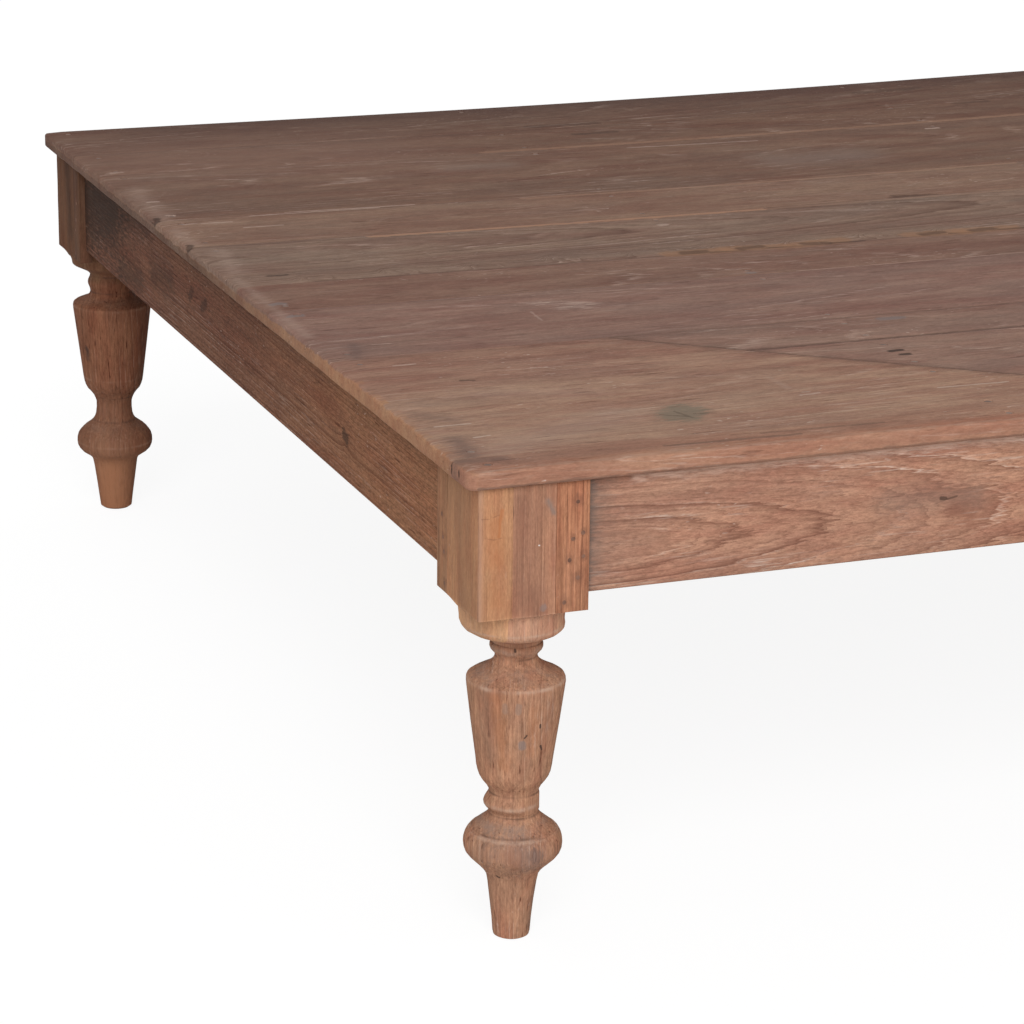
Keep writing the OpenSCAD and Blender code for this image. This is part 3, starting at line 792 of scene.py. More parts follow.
def chip_end(board, node):
    """Breaks the chips out of the left end, where boards meet."""
    low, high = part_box(node)
    for y, long, deep in CHIPS:
        if low.y - long < y < high.y + long:
            wedge = block("wedge", (-deep, -long, -deep), (deep, long, deep))
            wedge.rotation_euler = (0, math.radians(CHIP_TILT), math.radians(CHIP_TURN))
            wedge.location = (TOP_LOW.x + CHIP_IN, y, TOP_HIGH.z + CHIP_UP)
            settle(wedge)
            slice_up(wedge, 1, CHIP_STEP)
            wear_down(wedge, CHIP_WEAR, CHIP_GRAIN)
            carve(board, wedge)


def soften_joints(board):
    """Takes the sharp corner off the sawn edges of a board."""
    def sawn(edge):
        a, b = edge.verts[0].co, edge.verts[1].co
        level = min(a.z, b.z) > TOP_HIGH.z - 1e-4
        steep = len(edge.link_faces) == 2 and edge.calc_face_angle(0) > STEEP
        return level and steep and a.y > JOINTS["wide_plank"] + 0.01

    pick(board, "EDGE", sawn)
    bpy.ops.mesh.bevel(offset=SAWN_EDGE, segments=2, affect="EDGES", clamp_overlap=True)
    close_up()


def on_rim(p):
    return min(p.x - TOP_LOW.x, TOP_HIGH.x - p.x, p.y - TOP_LOW.y) < RIM_WIDTH


def make_top():
    """The boards of the top, by the names of their nodes."""
    slab = make_slab()
    made = {}
    for node in TOP_BOARDS:
        board = made[node] = saw_board(slab, node)
        chip_end(board, node)
        wear_down(board, RIM_WEAR, RIM_GRAIN, on_rim)
        soften_joints(board)
    bpy.data.objects.remove(slab)
    return made


def sag(pieces):
    """Lets the middle of the back edge hang, as the real top does, with a lattice round the top."""
    bpy.ops.object.add(type="LATTICE", location=((TOP_LOW + TOP_HIGH) / 2))
    cage = bpy.context.object
    cage.scale = TOP_HIGH - TOP_LOW
    cage.data.points_u, cage.data.points_v, cage.data.points_w = CAGE_POINTS
    for point in cage.data.points:
        u, v = point.co.x + 0.5, point.co.y + 0.5
        hang = math.sin(math.pi * u) * math.sin(math.pi / 2 * min(1, v / FULL_SAG_AT))
        point.co_deform.z -= SAG * CAGE_LOSS * hang / cage.scale.z
    for piece in pieces:
        take_up(piece)
        modifier = piece.modifiers.new("sag", "LATTICE")
        modifier.object = cage
        bpy.ops.object.modifier_apply(modifier=modifier.name)
    bpy.data.objects.remove(cage)


# The finishes of the top

INK = (0.045, 0.03, 0.026)
DARK_BAND = (0.12, 0.075, 0.058)
LIMED = (0.5, 0.38, 0.32)
GREY_SMEAR = (0.2, 0.17, 0.165)
PALE_EDGE = (0.47, 0.315, 0.235)
LIGHT_LINE = (0.38, 0.225, 0.15)
ORANGE_LINE = (0.43, 0.235, 0.148)
KNOT_BROWN = (0.275, 0.15, 0.09)
OLIVE = (0.328, 0.195, 0.14)
WHITE_SPECK = (0.75, 0.68, 0.64)
ORANGE = (0.335, 0.172, 0.116)
GREY_HAZE = (0.21, 0.155, 0.13)
FILLER = (0.185, 0.155, 0.115)
PALE_RUB = (0.4, 0.29, 0.235)
DULL_DARK = (0.1, 0.072, 0.068)
END_WOOD = (0.35, 0.182, 0.108)
DARK_END = (0.125, 0.072, 0.052)
FADED = (0.245, 0.150, 0.118)
REAR_SHADE = (0.080, 0.048, 0.042)
TOP_IRON = ((0.17, 0.115, 0.095), (0.25, 0.185, 0.155))

RIM_FROM, RIM_FADE = 0.020, 0.012
END_X = TOP_LOW.x


def joint_line(y, start, end, width, ink, strength, ragged):
    """A line along a joint. Start and end are along the table."""
    return ((start, y), (end, y), width, ink, strength, ragged)


def end_crack(inwards, y, high, low, width, strength, ragged):
    """A dark crack down the left end."""
    x = END_X + inwards
    return ((x, y, high), (x, y, low), width, INK, strength, ragged, 0)


def chip_shade(y, long, width, strength):
    """The dark inside of a chip in the left end."""
    start, end = (END_X + 0.002, y - 0.003, 0.4280), (END_X + 0.006, y + long, 0.4290)
    return (start, end, width, INK, strength, 2.2, 0)


def rim_speck(x, z, long, high, width):
    """A white speck on the front rim."""
    start, end = (x, -0.6945, z), (x + long, -0.6945, z + high)
    return (start, end, width, WHITE_SPECK, 0.8, 1.4, 0)


CUT_MARKS = [
    (CUT_BACK, CUT_FRONT, 0.0020, INK, 0.38, 2.6),
    (CUT_BACK, CUT_FRONT, 0.010, DARK_BAND, 0.18, 3.4),
]
END_MARKS = [
    end_crack(0, JOINTS["wide_plank"], 0.4285, 0.4190, 0.0014, 0.85, 1.6),
    end_crack(0.001, -0.6710, 0.4245, 0.4215, 0.0018, 0.75, 1.6),
    end_crack(0.004, -0.6860, 0.4270, 0.4160, 0.0009, 0.45, 2.0),
    chip_shade(CHIPS[1][0], 0.008, 0.0040, 0.65),
    chip_shade(CHIPS[0][0], 0.009, 0.0045, 0.70),
]
END_HAZES = [
    # Rubbed pale beside the left end, and dark where the end grain has drunk the dirt
    ((-0.728, 0.24), (-0.722, 0.38), 0.014, PALE_RUB, 0.26, 3.0),
    ((-0.73, 0.12), (-0.73, 0.19), 0.01, PALE_RUB, 0.24, 3.0),
    ((-0.724, 0.00), (-0.712, 0.09), 0.013, PALE_RUB, 0.27, 3.0),
    ((-0.73, -0.25), (-0.73, -0.02), 0.008, PALE_RUB, 0.25, 2.4),
    ((-0.722, -0.655), (-0.715, -0.6), 0.014, DULL_DARK, 0.5, 1.8),
    ((-0.722, -0.52), (-0.7, -0.545), 0.014, DULL_DARK, 0.3, 1.8),
    ((-0.705, -0.49), (-0.66, -0.5), 0.018, DULL_DARK, 0.22, 1.8),
    ((-0.712, -0.33), (-0.7, -0.29), 0.01, DULL_DARK, 0.4, 1.8),
]

# The rear left corner of the top has faded
FADED_CORNER = [((-0.66, 0.52), (-0.45, 0.50), 0.160, FADED, 0.34, 1.6)]


def knotty_row(y, places):
    """Small dark eyes in a brown swirl, along a line."""
    eyes = []
    for index, x in enumerate(places):
        shift = 0.004 * math.sin(index * 2.3)
        eyes.append(((x - 0.026, y + shift), (x + 0.03, y - shift), 0.011, KNOT_BROWN, 0.6, 1.8))
        eyes.append(((x - 0.012, y), (x + 0.01, y + shift), 0.006, INK, 0.5, 1.6))
        eyes.append(((x + 0.016, y - 0.005), (x + 0.05, y - 0.007), 0.0028, INK, 0.4, 2.4))
    return eyes


def row_of_knots():
    """The knots that bend the rings of the fourth plank, at even steps along it."""
    places = [(-0.66 + 0.085 * i, 0.006 * (i % 2)) for i in range(9)]
    return [((x, -0.038 + shift), (x + 0.015, -0.038), 0.016, 0.020) for x, shift in places]


def worn_rim(shop, grain):
    """The rubbed front rim, where the wood shows orange, and the bare end faces."""
    x, y, z = shop.split(grain)
    uneven = shop.cloud(grain, (30, 60, 60), 4, 0.65)
    rim_y = TOP_LOW.y + RIM_FROM
    front = shop.step(shop.times_plus(uneven, 0.026, y), rim_y, rim_y - RIM_FADE)
    # Near the front corner the whole end is bare, further back only its lower half
    bare_below = shop.step(y, -0.50, 0.0, TOP_HIGH.z - 0.0012, TOP_HIGH.z - 0.0070)
    height = shop.minus(shop.times_plus(uneven, 0.008, z), bare_below)
    from_middle = shop.math("ABSOLUTE", x)
    near_end = shop.step(from_middle, TOP_HIGH.x - 0.010, TOP_HIGH.x - 0.007)
    end = shop.times(shop.step(height, 0.0008, -0.0014), near_end)
    far_back = shop.times(end, shop.step(y, -0.42, 0.22))
    corner = shop.times(end, shop.step(y, -0.645, -0.656))
    return (
        (front, ORANGE, dict(line=0.0, lime=0.45, specks=0.8)),
        (end, END_WOOD, dict(line=0.0, lime=0.1)),
        (far_back, DARK_END, {}),
        (corner, ORANGE, {}),
    )


def sunned_front(shop, grain):
    """The front half of the wide plank has gone olive."""
    y = shop.split(grain)[1]
    edge = shop.times_plus(shop.cloud(grain, (5, 16, 16), 5, 0.65), 0.45, y)
    return ((shop.step(edge, -0.36, -0.56), OLIVE, {}), *worn_rim(shop, grain))


KNOTTY_ROW = knotty_row(-0.05, (-0.264, -0.202, -0.132, 0.0005, 0.057))
BOARDS = {
    "top_front_strip": dict(
        colour=(0.31, 0.174, 0.124), spacing=0.006, line=0.15, haze=0.3,
        marks=[
            ((-0.56, -0.672), (-0.44, -0.675), 0.0022, DARK_BAND, 0.5, 2.0),
            ((-0.47, -0.664), (-0.36, -0.667), 0.002, DARK_BAND, 0.4, 2.0),
            # A dark line along the bottom of the front edge: partly dirt, partly painted shadow
            # under the edge
            ((-0.73, -0.694, 0.415), (0.73, -0.694, 0.415), 0.0016, DARK_BAND, 0.45, 3.0, 0),
            rim_speck(-0.6765, 0.4172, 0.003, 0.0004, 0.0008),
            rim_speck(-0.6743, 0.4148, 0.0005, 0.0002, 0.0007),
        ] + END_MARKS,
        hazes=[
            ((-0.735, -0.66), (-0.7, -0.662), 0.01, DULL_DARK, 0.45, 1.6),
            ((-0.73, -0.6895), (0.73, -0.6895), 0.003, PALE_EDGE, 0.26, 4.5),
        ],
    ),
    "top_wide_plank": dict(
        colour=(0.28, 0.156, 0.116), spacing=0.01, haze=0.35, specks=0.5, patch=1.6,
        tint=sunned_front,
        marks=[
            ((-0.513, -0.592), (-0.503, -0.582), 0.019, FILLER, 0.75, 2.0),
            ((-0.528, -0.586), (-0.508, -0.598), 0.0012, INK, 0.35, 3.4),
            ((-0.513, -0.58), (-0.506, -0.602), 0.0014, INK, 0.3, 3.4),
            ((-0.5, -0.592), (-0.482, -0.596), 0.0012, INK, 0.35, 3.4),
            ((-0.39, -0.568), (-0.372, -0.566), 0.002, LIMED, 0.4, 4.0),
            ((-0.384, -0.56), (-0.378, -0.56), 0.0016, LIMED, 0.4, 3.0),
            ((-0.266, -0.584), (-0.2, -0.586), 0.0012, LIMED, 0.55, 3.0),
            ((-0.65, -0.432), (-0.64, -0.434), 0.0022, INK, 0.6, 1.4),
            ((-0.69, -0.368), (-0.67, -0.368), 0.0012, LIMED, 0.5, 3.0),
            ((-0.72, -0.56), (-0.69, -0.56), 0.0015, LIMED, 0.5, 2.6),
            ((-0.7, -0.6), (-0.686, -0.598), 0.0015, LIMED, 0.5, 2.6),
            ((-0.719, -0.212), (-0.714, -0.212), 0.003, GREY_SMEAR, 0.5, 2.6),
        ] + CUT_MARKS + END_MARKS,
        hazes=END_HAZES + [
            ((-0.39, -0.545), (-0.392, -0.505), 0.004, PALE_RUB, 0.22, 3.0),
            ((-0.69, -0.64), (-0.56, -0.57), 0.03, PALE_RUB, 0.22, 1.8),
            ((-0.64, -0.48), (-0.56, -0.5), 0.02, PALE_RUB, 0.14, 1.8),
        ],
    ),
    "top_front_fill_plank": dict(
        colour=(0.262, 0.155, 0.121), spacing=0.008, haze=0.5,
        marks=[
            joint_line(FILL_JOINT, -0.37, -0.09, 0.0026, INK, 0.45, 2.4),
            joint_line(FILL_JOINT, -0.09, 0.74, 0.0015, DARK_BAND, 0.35, 2.0),
            joint_line(FILL_FRONT, -0.26, 0.74, 0.0012, DARK_BAND, 0.35, 2.0),
            ((-0.25, -0.459), (-0.24, -0.458), 0.0036, INK, 0.85, 1.6),
            ((-0.246, -0.473), (-0.24, -0.473), 0.0034, INK, 0.8, 1.6),
        ] + CUT_MARKS,
    ),
    "top_back_fill_plank": dict(
        colour=(0.255, 0.152, 0.119), spacing=0.007, haze=0.5,
        marks=[
            joint_line(FILL_JOINT, -0.37, -0.09, 0.0026, INK, 0.45, 2.4),
            joint_line(JOINTS["plank_2"], -0.47, 0.74, 0.0018, DARK_BAND, 0.45, 2.0),
            ((-0.206, -0.351), (-0.186, -0.351), 0.005, GREY_SMEAR, 0.6, 2.6),
        ] + CUT_MARKS,
    ),
    "top_plank_2": dict(
        colour=(0.242, 0.142, 0.114), spacing=0.009, haze=0.5, line=0.25,
        knots=[((-0.1, -0.17), (0.2, -0.17), 0.03, 0.012)],
        hazes=END_HAZES,
        marks=[
            joint_line(JOINTS["plank_2"], -0.62, -0.47, 0.0012, DARK_BAND, 0.3, 2.0),
            joint_line(JOINTS["plank_2"], -0.47, 0.74, 0.0018, DARK_BAND, 0.45, 2.0),
            ((-0.508, -0.258), (-0.506, -0.226), 0.0013, LIMED, 0.25, 4.0),
            ((-0.724, -0.1755), (-0.714, -0.1755), 0.004, GREY_SMEAR, 0.6, 2.6),
            joint_line(JOINTS["plank_3"], -0.74, 0.74, 0.0014, DARK_BAND, 0.3, 2.0),
        ],
    ),
    "top_plank_3": dict(
        colour=(0.212, 0.122, 0.094), spacing=0.006, haze=0.4,
        hazes=END_HAZES,
        marks=[
            joint_line(JOINTS["plank_3"], -0.2, 0.74, 0.0016, LIMED, 0.22, 2.6),
            joint_line(JOINTS["plank_4"], -0.66, 0.74, 0.002, DARK_BAND, 0.45, 2.2),
            ((-0.727, -0.1286), (-0.716, -0.1286), 0.0045, GREY_SMEAR, 0.6, 2.6),
            ((-0.25, -0.146), (-0.244, -0.146), 0.0035, GREY_SMEAR, 0.5, 2.4),
        ] + KNOTTY_ROW,
    ),
    "top_plank_4": dict(
        colour=(0.228, 0.146, 0.112), spacing=0.0065, haze=0.5, line=0.8,
        knots=row_of_knots(),
        hazes=END_HAZES,
        marks=[
            ((-0.697, -0.0225), (-0.68, -0.0225), 0.0032, INK, 0.6, 2.4),
            joint_line(JOINTS["plank_4"], -0.66, 0.74, 0.002, DARK_BAND, 0.45, 2.2),
            ((-0.25, 0.071), (-0.244, 0.071), 0.0035, LIMED, 0.4, 2.4),
            joint_line(JOINTS["plank_5"] - 0.004, -0.55, -0.12, 0.0042, ORANGE_LINE, 0.62, 3.0),
            joint_line(JOINTS["plank_5"] - 0.004, -0.12, 0.74, 0.004, LIGHT_LINE, 0.3, 3.0),
        ] + KNOTTY_ROW + END_MARKS,
    ),
    "top_plank_5": dict(
        colour=(0.23, 0.139, 0.103), spacing=0.008, haze=0.4, line=0.35, taper=0.09,
        pith=(-0.3, 0.172, TOP_HIGH.z), lime=0.4,
        hazes=END_HAZES,
        marks=[
            ((0.042, 0.115), (0.082, 0.108), 0.0085, INK, 0.55, 2.4),
            joint_line(JOINTS["plank_5"] + 0.001, -0.74, 0.74, 0.0016, DARK_BAND, 0.4, 2.2),
            ((-0.715, 0.21), (-0.665, 0.208), 0.0016, LIMED, 0.45, 4.0),
            ((-0.64, 0.228), (-0.5, 0.229), 0.0014, LIMED, 0.5, 3.0),
            ((-0.66, 0.18), (-0.62, 0.18), 0.0014, LIMED, 0.4, 3.0),
            ((-0.25, 0.108), (-0.244, 0.108), 0.0035, DULL_DARK, 0.5, 2.4),
            joint_line(JOINTS["plank_6"] - 0.004, -0.34, 0.24, 0.004, LIGHT_LINE, 0.42, 3.0),
            joint_line(JOINTS["plank_6"] - 0.001, -0.46, 0.74, 0.0018, DARK_BAND, 0.3, 2.2),
        ] + END_MARKS,
    ),
    "top_plank_6": dict(
        colour=(0.182, 0.106, 0.079), spacing=0.009, haze=0.55,
        hazes=[
            ((0.00, 0.322), (0.09, 0.322), 0.04, GREY_HAZE, 0.5, 1.4),
            ((-0.36, 0.39), (-0.3, 0.39), 0.025, GREY_HAZE, 0.35, 1.4),
        ] + END_HAZES + FADED_CORNER,
        marks=[
            ((-0.6, 0.234), (-0.46, 0.233), 0.0012, LIMED, 0.4, 3.0),
            ((-0.721, 0.253), (-0.713, 0.253), 0.002, LIMED, 0.38, 2.4),
            ((-0.722, 0.318), (-0.712, 0.318), 0.0022, LIMED, 0.42, 2.4),
            ((-0.135, 0.435), (0.018, 0.427), 0.002, LIMED, 0.3, 3.0),
            ((0.232, 0.4235), (0.246, 0.4235), 0.0028, LIMED, 0.5, 2.0),
            joint_line(JOINTS["plank_7"], -0.74, 0.74, 0.002, DARK_BAND, 0.35, 2.2),
        ] + END_MARKS,
    ),
    "top_plank_7": dict(
        colour=(0.164, 0.094, 0.07), spacing=0.006, haze=0.35,
        hazes=FADED_CORNER,
        marks=[
            joint_line(JOINTS["plank_7"] + 0.004, -0.3, 0.74, 0.005, LIGHT_LINE, 0.26, 3.0),
            ((-0.165, 0.521), (-0.115, 0.521), 0.005, INK, 0.4, 3.0),
            ((0.33, 0.541), (0.37, 0.541), 0.005, INK, 0.35, 3.0),
            ((-0.722, 0.465), (-0.711, 0.465), 0.0022, LIMED, 0.32, 2.4),
            joint_line(JOINTS["rear_plank"], -0.74, 0.74, 0.0022, DARK_BAND, 0.3, 2.2),
        ],
    ),
    "top_rear_plank": dict(
        colour=(0.15, 0.087, 0.066), spacing=0.008, haze=0.35,
        marks=[
            ((-0.2, 0.575), (-0.12, 0.573), 0.007, INK, 0.35, 3.2),
            ((0.25, 0.64), (0.33, 0.64), 0.007, INK, 0.25, 3.0),
        ],
        hazes=FADED_CORNER + [((-0.6, 0.705), (0.74, 0.705), 0.085, REAR_SHADE, 0.62, 1.6)],
    ),
}


def board_looks(number, node):
    """What the boards have in common, each sawn out of another log, and what one has of its own."""
    low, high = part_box(node)
    pith = (
        0.2 * math.sin(number * 2.1),
        (low.y + high.y) / 2 + 0.04 * math.sin(number * 3.3),
        0.30 + 0.04 * math.cos(number),
    )
    return dict(
        pith=pith, taper=0.06, wander=0.02, line=0.25, lime=0.38, fibre=0.95, fine=0.85,
        grit=0.6, dashes=0.5, specks=0.4, tint=worn_rim,
    ) | BOARDS[node]


sagging = []
for number, (node, board) in enumerate(make_top().items()):
    name = node.replace("top_", "board ").replace("_", " ")
    finish = teak(name, "X", seed=number + 1, **board_looks(number, node))
    finish_piece(board, finish, node)
    sagging.append(board)
top_iron = iron("nail iron of the top", *TOP_IRON)
for node in TOP_NAIL_NODES:
    heads = [
        nail_head(place, wide, "up", long - SHANK_LOSS, index)
        for index, (place, wide, long) in enumerate(top_nails(node, HEAD_DEPTH))
    ]
    row = join_up(heads, node.replace("top_", ""))
    finish_piece(row, top_iron, node)
    sagging.append(row)


# The frame

ARCH_X, ARCH_Z = -0.632, 0.3515
FRAME_EDGE = 0.0018
# Soot stains; along the left apron's top edge the same colour is painted shadow
SOOT_AND_SHADOW = (0.036, 0.024, 0.019)
# Grey stains; beside the near cheek the same colour is partly painted shade
GREY_STAIN_AND_SHADE = (0.14, 0.105, 0.09)
# Painted light for the front apron's top edge, in the shade of the top's overhang
PAINTED_LIGHT_STRIP = (0.64, 0.43, 0.335)
KNOT_RED = (0.20, 0.082, 0.055)
RED_TEAK = (0.345, 0.167, 0.106)
DARK_TEAK = (0.166, 0.077, 0.050)


def beam(name, node):
    """A plank of the frame with softened edges."""
    low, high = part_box(node)
    piece = block(name, low, high)
    along = 0 if high.x - low.x > high.y - low.y else 1
    round_edges(piece, lambda a, b: abs(a[along] - b[along]) > 0.5, FRAME_EDGE, 3)
    slice_up(piece, along, 0.02)
    slice_up(piece, 2, 0.02)
    return piece


def left_to_right(start, end, over):
    """Turns slowly into another colour between two places along the grain."""
    def tint(shop, grain):
        return ((shop.step(shop.split(grain)[0], start, end), over, {}),)
    return tint


APRON_LOOKS = {
    "apron_front": dict(
        axis="X upright", colour=(0.378, 0.197, 0.135), seed=21,
        pith=(ARCH_X, ARCH_Z, -0.6865), taper=0.154, spacing=0.0117, wander=0.024,
        line=1.0, lime=0.95, fibre=0.7, grit=1.1, dashes=0.25, haze=0.45, specks=0.4, patch=1.6,
        tint=left_to_right(-0.5, 0.5, RED_TEAK),
        knots=[((-0.315, 0.362), (-0.295, 0.362), 0.02, 0.005)],
        marks=[
            ((-0.311, 0.3628), (-0.307, 0.3622), 0.0016, SOOT_AND_SHADOW, 0.65, 1.6),
            ((-0.305, 0.3616), (-0.296, 0.3632), 0.0008, SOOT_AND_SHADOW, 0.55, 2.4),
        ],
        hazes=[
            # Grey beside the cheek: partly a grey stain, partly painted shade where the cheek
            # stands out over the apron
            ((-0.634, 0.32), (-0.632, 0.41), 0.0085, GREY_STAIN_AND_SHADE, 0.8, 1.8),
            ((-0.634, 0.34), (-0.628, 0.41), 0.026, GREY_STAIN_AND_SHADE, 0.38, 1.8),
            ((-0.36, 0.365), (-0.28, 0.362), 0.016, GREY_STAIN_AND_SHADE, 0.35, 1.6),
            ((-0.3, 0.35), (-0.285, 0.345), 0.01, KNOT_RED, 0.55, 2.4),
            # Painted light: a lighter strip along the top edge makes up for the shade under the
            # top's overhang
            ((-0.59, 0.412), (0.66, 0.412), 0.0065, PAINTED_LIGHT_STRIP, 0.75, 2.4),
        ],
    ),
    "apron_left": dict(
        axis="Y upright", colour=(0.302, 0.138, 0.075), seed=23,
        pith=(-1.2, 0.5, -0.76), taper=0.012, spacing=0.0042, wander=0.01,
        line=0.85, lime=0.3, fibre=1.5, grit=1.5, dashes=0.8, haze=0.4, specks=0.4,
        tint=left_to_right(-0.62, 0.1, DARK_TEAK),
        knots=[
            ((-0.326, 0.356), (-0.326, 0.356), 0.018, 0.006),
            ((0.123, 0.367), (0.169, 0.367), 0.012, 0.004),
        ],
        marks=[
            ((-0.33, 0.354), (-0.322, 0.358), 0.0055, SOOT_AND_SHADOW, 0.65, 2.0),
            ((0.47, 0.395), (0.6, 0.35), 0.036, SOOT_AND_SHADOW, 0.45, 1.8),
            ((0.115, 0.37), (0.128, 0.362), 0.005, SOOT_AND_SHADOW, 0.5, 2.2),
            ((0.163, 0.372), (0.172, 0.362), 0.005, SOOT_AND_SHADOW, 0.5, 2.2),
        ],
        hazes=[
            ((0.47, 0.385), (0.62, 0.375), 0.066, SOOT_AND_SHADOW, 0.75, 3.0),
            ((0.33, 0.405), (0.42, 0.395), 0.026, SOOT_AND_SHADOW, 0.55, 3.0),
            ((0.36, 0.335), (0.44, 0.33), 0.018, SOOT_AND_SHADOW, 0.5, 3.0),
            ((0.24, 0.365), (0.31, 0.355), 0.018, SOOT_AND_SHADOW, 0.45, 3.0),
            # Painted shadow: a dark band along the top edge, under the top's overhang
            ((-0.6, 0.405), (0.2, 0.405), 0.01, SOOT_AND_SHADOW, 0.25, 2.0),
        ],
    ),
}
UNMARKED = dict(knots=[], marks=[], hazes=[])
APRON_LOOKS["apron_rear"] = APRON_LOOKS["apron_front"] | UNMARKED | dict(
    colour=(0.25, 0.135, 0.095), seed=22, pith=(0.75, 0.36, 0.70), taper=-0.07,
)
APRON_LOOKS["apron_right"] = APRON_LOOKS["apron_left"] | UNMARKED | dict(
    colour=(0.28, 0.14, 0.085), seed=24, pith=(-1.2, 0.50, 0.76),
)
APRON_LOOKS["bearer_left"] = dict(
    axis="Y upright", colour=(0.30, 0.16, 0.105), seed=25, pith=(0.2, 0.30, -0.35), taper=0.02,
    spacing=0.006,
)
APRON_LOOKS["bearer_right"] = dict(APRON_LOOKS["bearer_left"], seed=26, pith=(-0.3, 0.42, 0.35))

for node, looks in APRON_LOOKS.items():
    name = node.replace("apron_", "apron_board_").replace("bearer_", "bearer_beam_")
    piece = beam(name, node)
    finish_piece(piece, teak(node.replace("_", " "), **looks), node)
    sagging.append(piece)


# The legs

# Radius and height of each ring that the turner cut, in millimetres
TURNINGS = {
    "front": [
        (13, 0), (15.2, 1.2), (16.2, 4), (17.2, 16), (19.1, 32), (21.2, 50), (22, 54), (22.6, 57),
        (25.5, 61.5), (29.5, 65.8), (34, 70), (38, 74), (40.6, 77.6), (42, 81.5), (42.5, 85.5),
        (42.2, 89), (41.2, 92.5), (39.6, 95.5), (37.6, 97.8), (36.8, 98.3), (36.3, 98),
        (34.4, 100.2), (31, 103), (27, 106.3), (23.6, 109.4), (21.8, 112), (21.4, 114),
        (22.4, 116), (24.3, 118), (25.5, 120), (25.8, 122), (25.1, 124.4), (23.4, 127.4),
        (21.8, 129.8), (21.4, 132), (21.8, 134), (24, 138), (27.3, 142), (29.7, 146), (31.2, 150),
        (32.3, 155), (33.1, 161), (37.6, 194), (41.6, 225), (42.1, 229.5), (41.9, 232.5),
        (41.3, 234), (39.8, 235), (36, 237), (30.9, 239.8), (26, 242.6), (22.4, 245.2),
        (20, 247.4), (18.6, 249.8), (18.2, 252), (18.6, 253.8), (20.2, 255.6), (21.9, 257.6),
        (22.9, 260), (22.9, 262), (22.2, 263.8), (21.5, 264.4), (21.9, 265), (22, 267),
        (23.4, 268.2), (27.5, 270), (33.5, 272.2), (38.8, 274.6), (42.2, 277.2), (43.8, 280.2),
        (44.4, 284), (44.5, 287), (44.5, 292.5),
    ],
    "rear": [
        (14.9, 0), (17.6, 2), (18.6, 6), (19.8, 16), (22, 32), (24.5, 50), (25.6, 56.5),
        (26.6, 59.5), (29, 62.2), (33, 65), (37.5, 68), (40.6, 71.5), (42.4, 75.5), (43, 79.5),
        (42.7, 84), (41.5, 88), (39.4, 91.2), (37, 94), (33.6, 97.2), (29, 100.6), (25, 104),
        (22.6, 107.6), (21.2, 112), (20.4, 119), (20.4, 126), (21.6, 130), (23.6, 134.4),
        (26.8, 138.8), (29.9, 142.4), (32, 146.4), (33.3, 150.6), (34.2, 156), (39, 193),
        (44, 235), (44.2, 239.5), (43.6, 242), (42, 243.4), (39, 244.9), (34, 246.9),
        (29.4, 248.8), (26.2, 251), (24.4, 254), (24.3, 256.6), (25.2, 260), (26.6, 263.4),
        (27, 266), (26.5, 268.8), (25.2, 271.6), (24.3, 274), (24.4, 275.6), (26.2, 278),
        (29.4, 280.4), (34, 282.8), (38.6, 285), (42, 286.8), (43.6, 288.4), (44, 290),
        (44, 292.5),
    ],
}
PATTERNS = {-1: "front", 1: "rear"}
COLLAR, COVE, BLANK_REACH = 44.5, 8, 78
LEG_SIDES = 96
FOOT_DISC = 0.003
TURNING_WEAR, TURNING_GRAIN = 0.0009, 0.018
BLOCK_WEAR, BLOCK_GRAIN = 0.0008, 0.03
OUTER_EDGE, INNER_EDGE, CHEEK_EDGE = 0.003, 0.0012, 0.0006
FOOT_CLEAR, COVE_CLEAR = 0.004, 0.0095
BLANK_SLICES = ((2, 0.012), (0, 0.016), (1, 0.016))
SLOT_ROOM, HALF_ROOM = 0.00015, 0.01
# How far the near leg's turning sits off the middle of its block: at the floor, under the collar
LEANS = {"front_left": (Vector((0.0020, -0.0008, 0)), Vector((0.0039, -0.0015, 0)))}
CENTRED = (Vector(), Vector())
LEAN_TOP, TRUE_BELOW, TRUE_OVER, LEAN_AT_BEAD = 0.26, 0.018, 0.012, 0.75
# The low bead of that leg: its height, and the bearings between which it is broken away
BEAD_Z, BEAD_HIGH, BEAD_REACH, NECK_RADIUS = 0.1217, 0.0175, 0.040, 0.0217
BREAK_FROM, BREAK_TO = -88, 45


def tall(a, b):
    return abs(a.z - b.z) > 0.1


def cove_rings(block_z):
    """A hollow quarter round leads from the collar into the underside of the block."""
    for i in range(1, 7):
        angle = math.radians(15 * i)
        yield COLLAR + COVE * (1 - math.cos(angle)), block_z - COVE * (1 - math.sin(angle))


def turn_leg(outline, axis, block_z, seat_z, lean):
    """Turns a leg on its axis: a disc at the foot is drawn up ring by ring to the outline."""
    true_at = block_z - TRUE_BELOW

    def middle_at(z):
        share = min(1, max(0, (true_at - z) / TRUE_OVER))
        return Vector((*axis, z)) + lean[0].lerp(lean[1], min(1, z / LEAN_TOP)) * share

    high, top = block_z / MM, seat_z / MM + 2
    rings = [*outline, *cove_rings(high), (BLANK_REACH, high), (BLANK_REACH, top)]
    radius, centre = rings[0][0], middle_at(0)
    bpy.ops.mesh.primitive_cylinder_add(
        vertices=LEG_SIDES, radius=radius * MM, depth=FOOT_DISC,
        location=centre - Vector((0, 0, FOOT_DISC / 2)),
    )
    leg = settle(bpy.context.object)
    pick(leg, "FACE", lambda face: face.normal.z > 0.9)
    for r, z in rings[1:]:
        above = middle_at(z * MM)
        bpy.ops.mesh.extrude_region_move(TRANSFORM_OT_translate={"value": above - centre})
        bpy.ops.transform.resize(value=(r / radius, r / radius, 1), center_override=above)
        radius, centre = r, above
    close_up()
    return leg


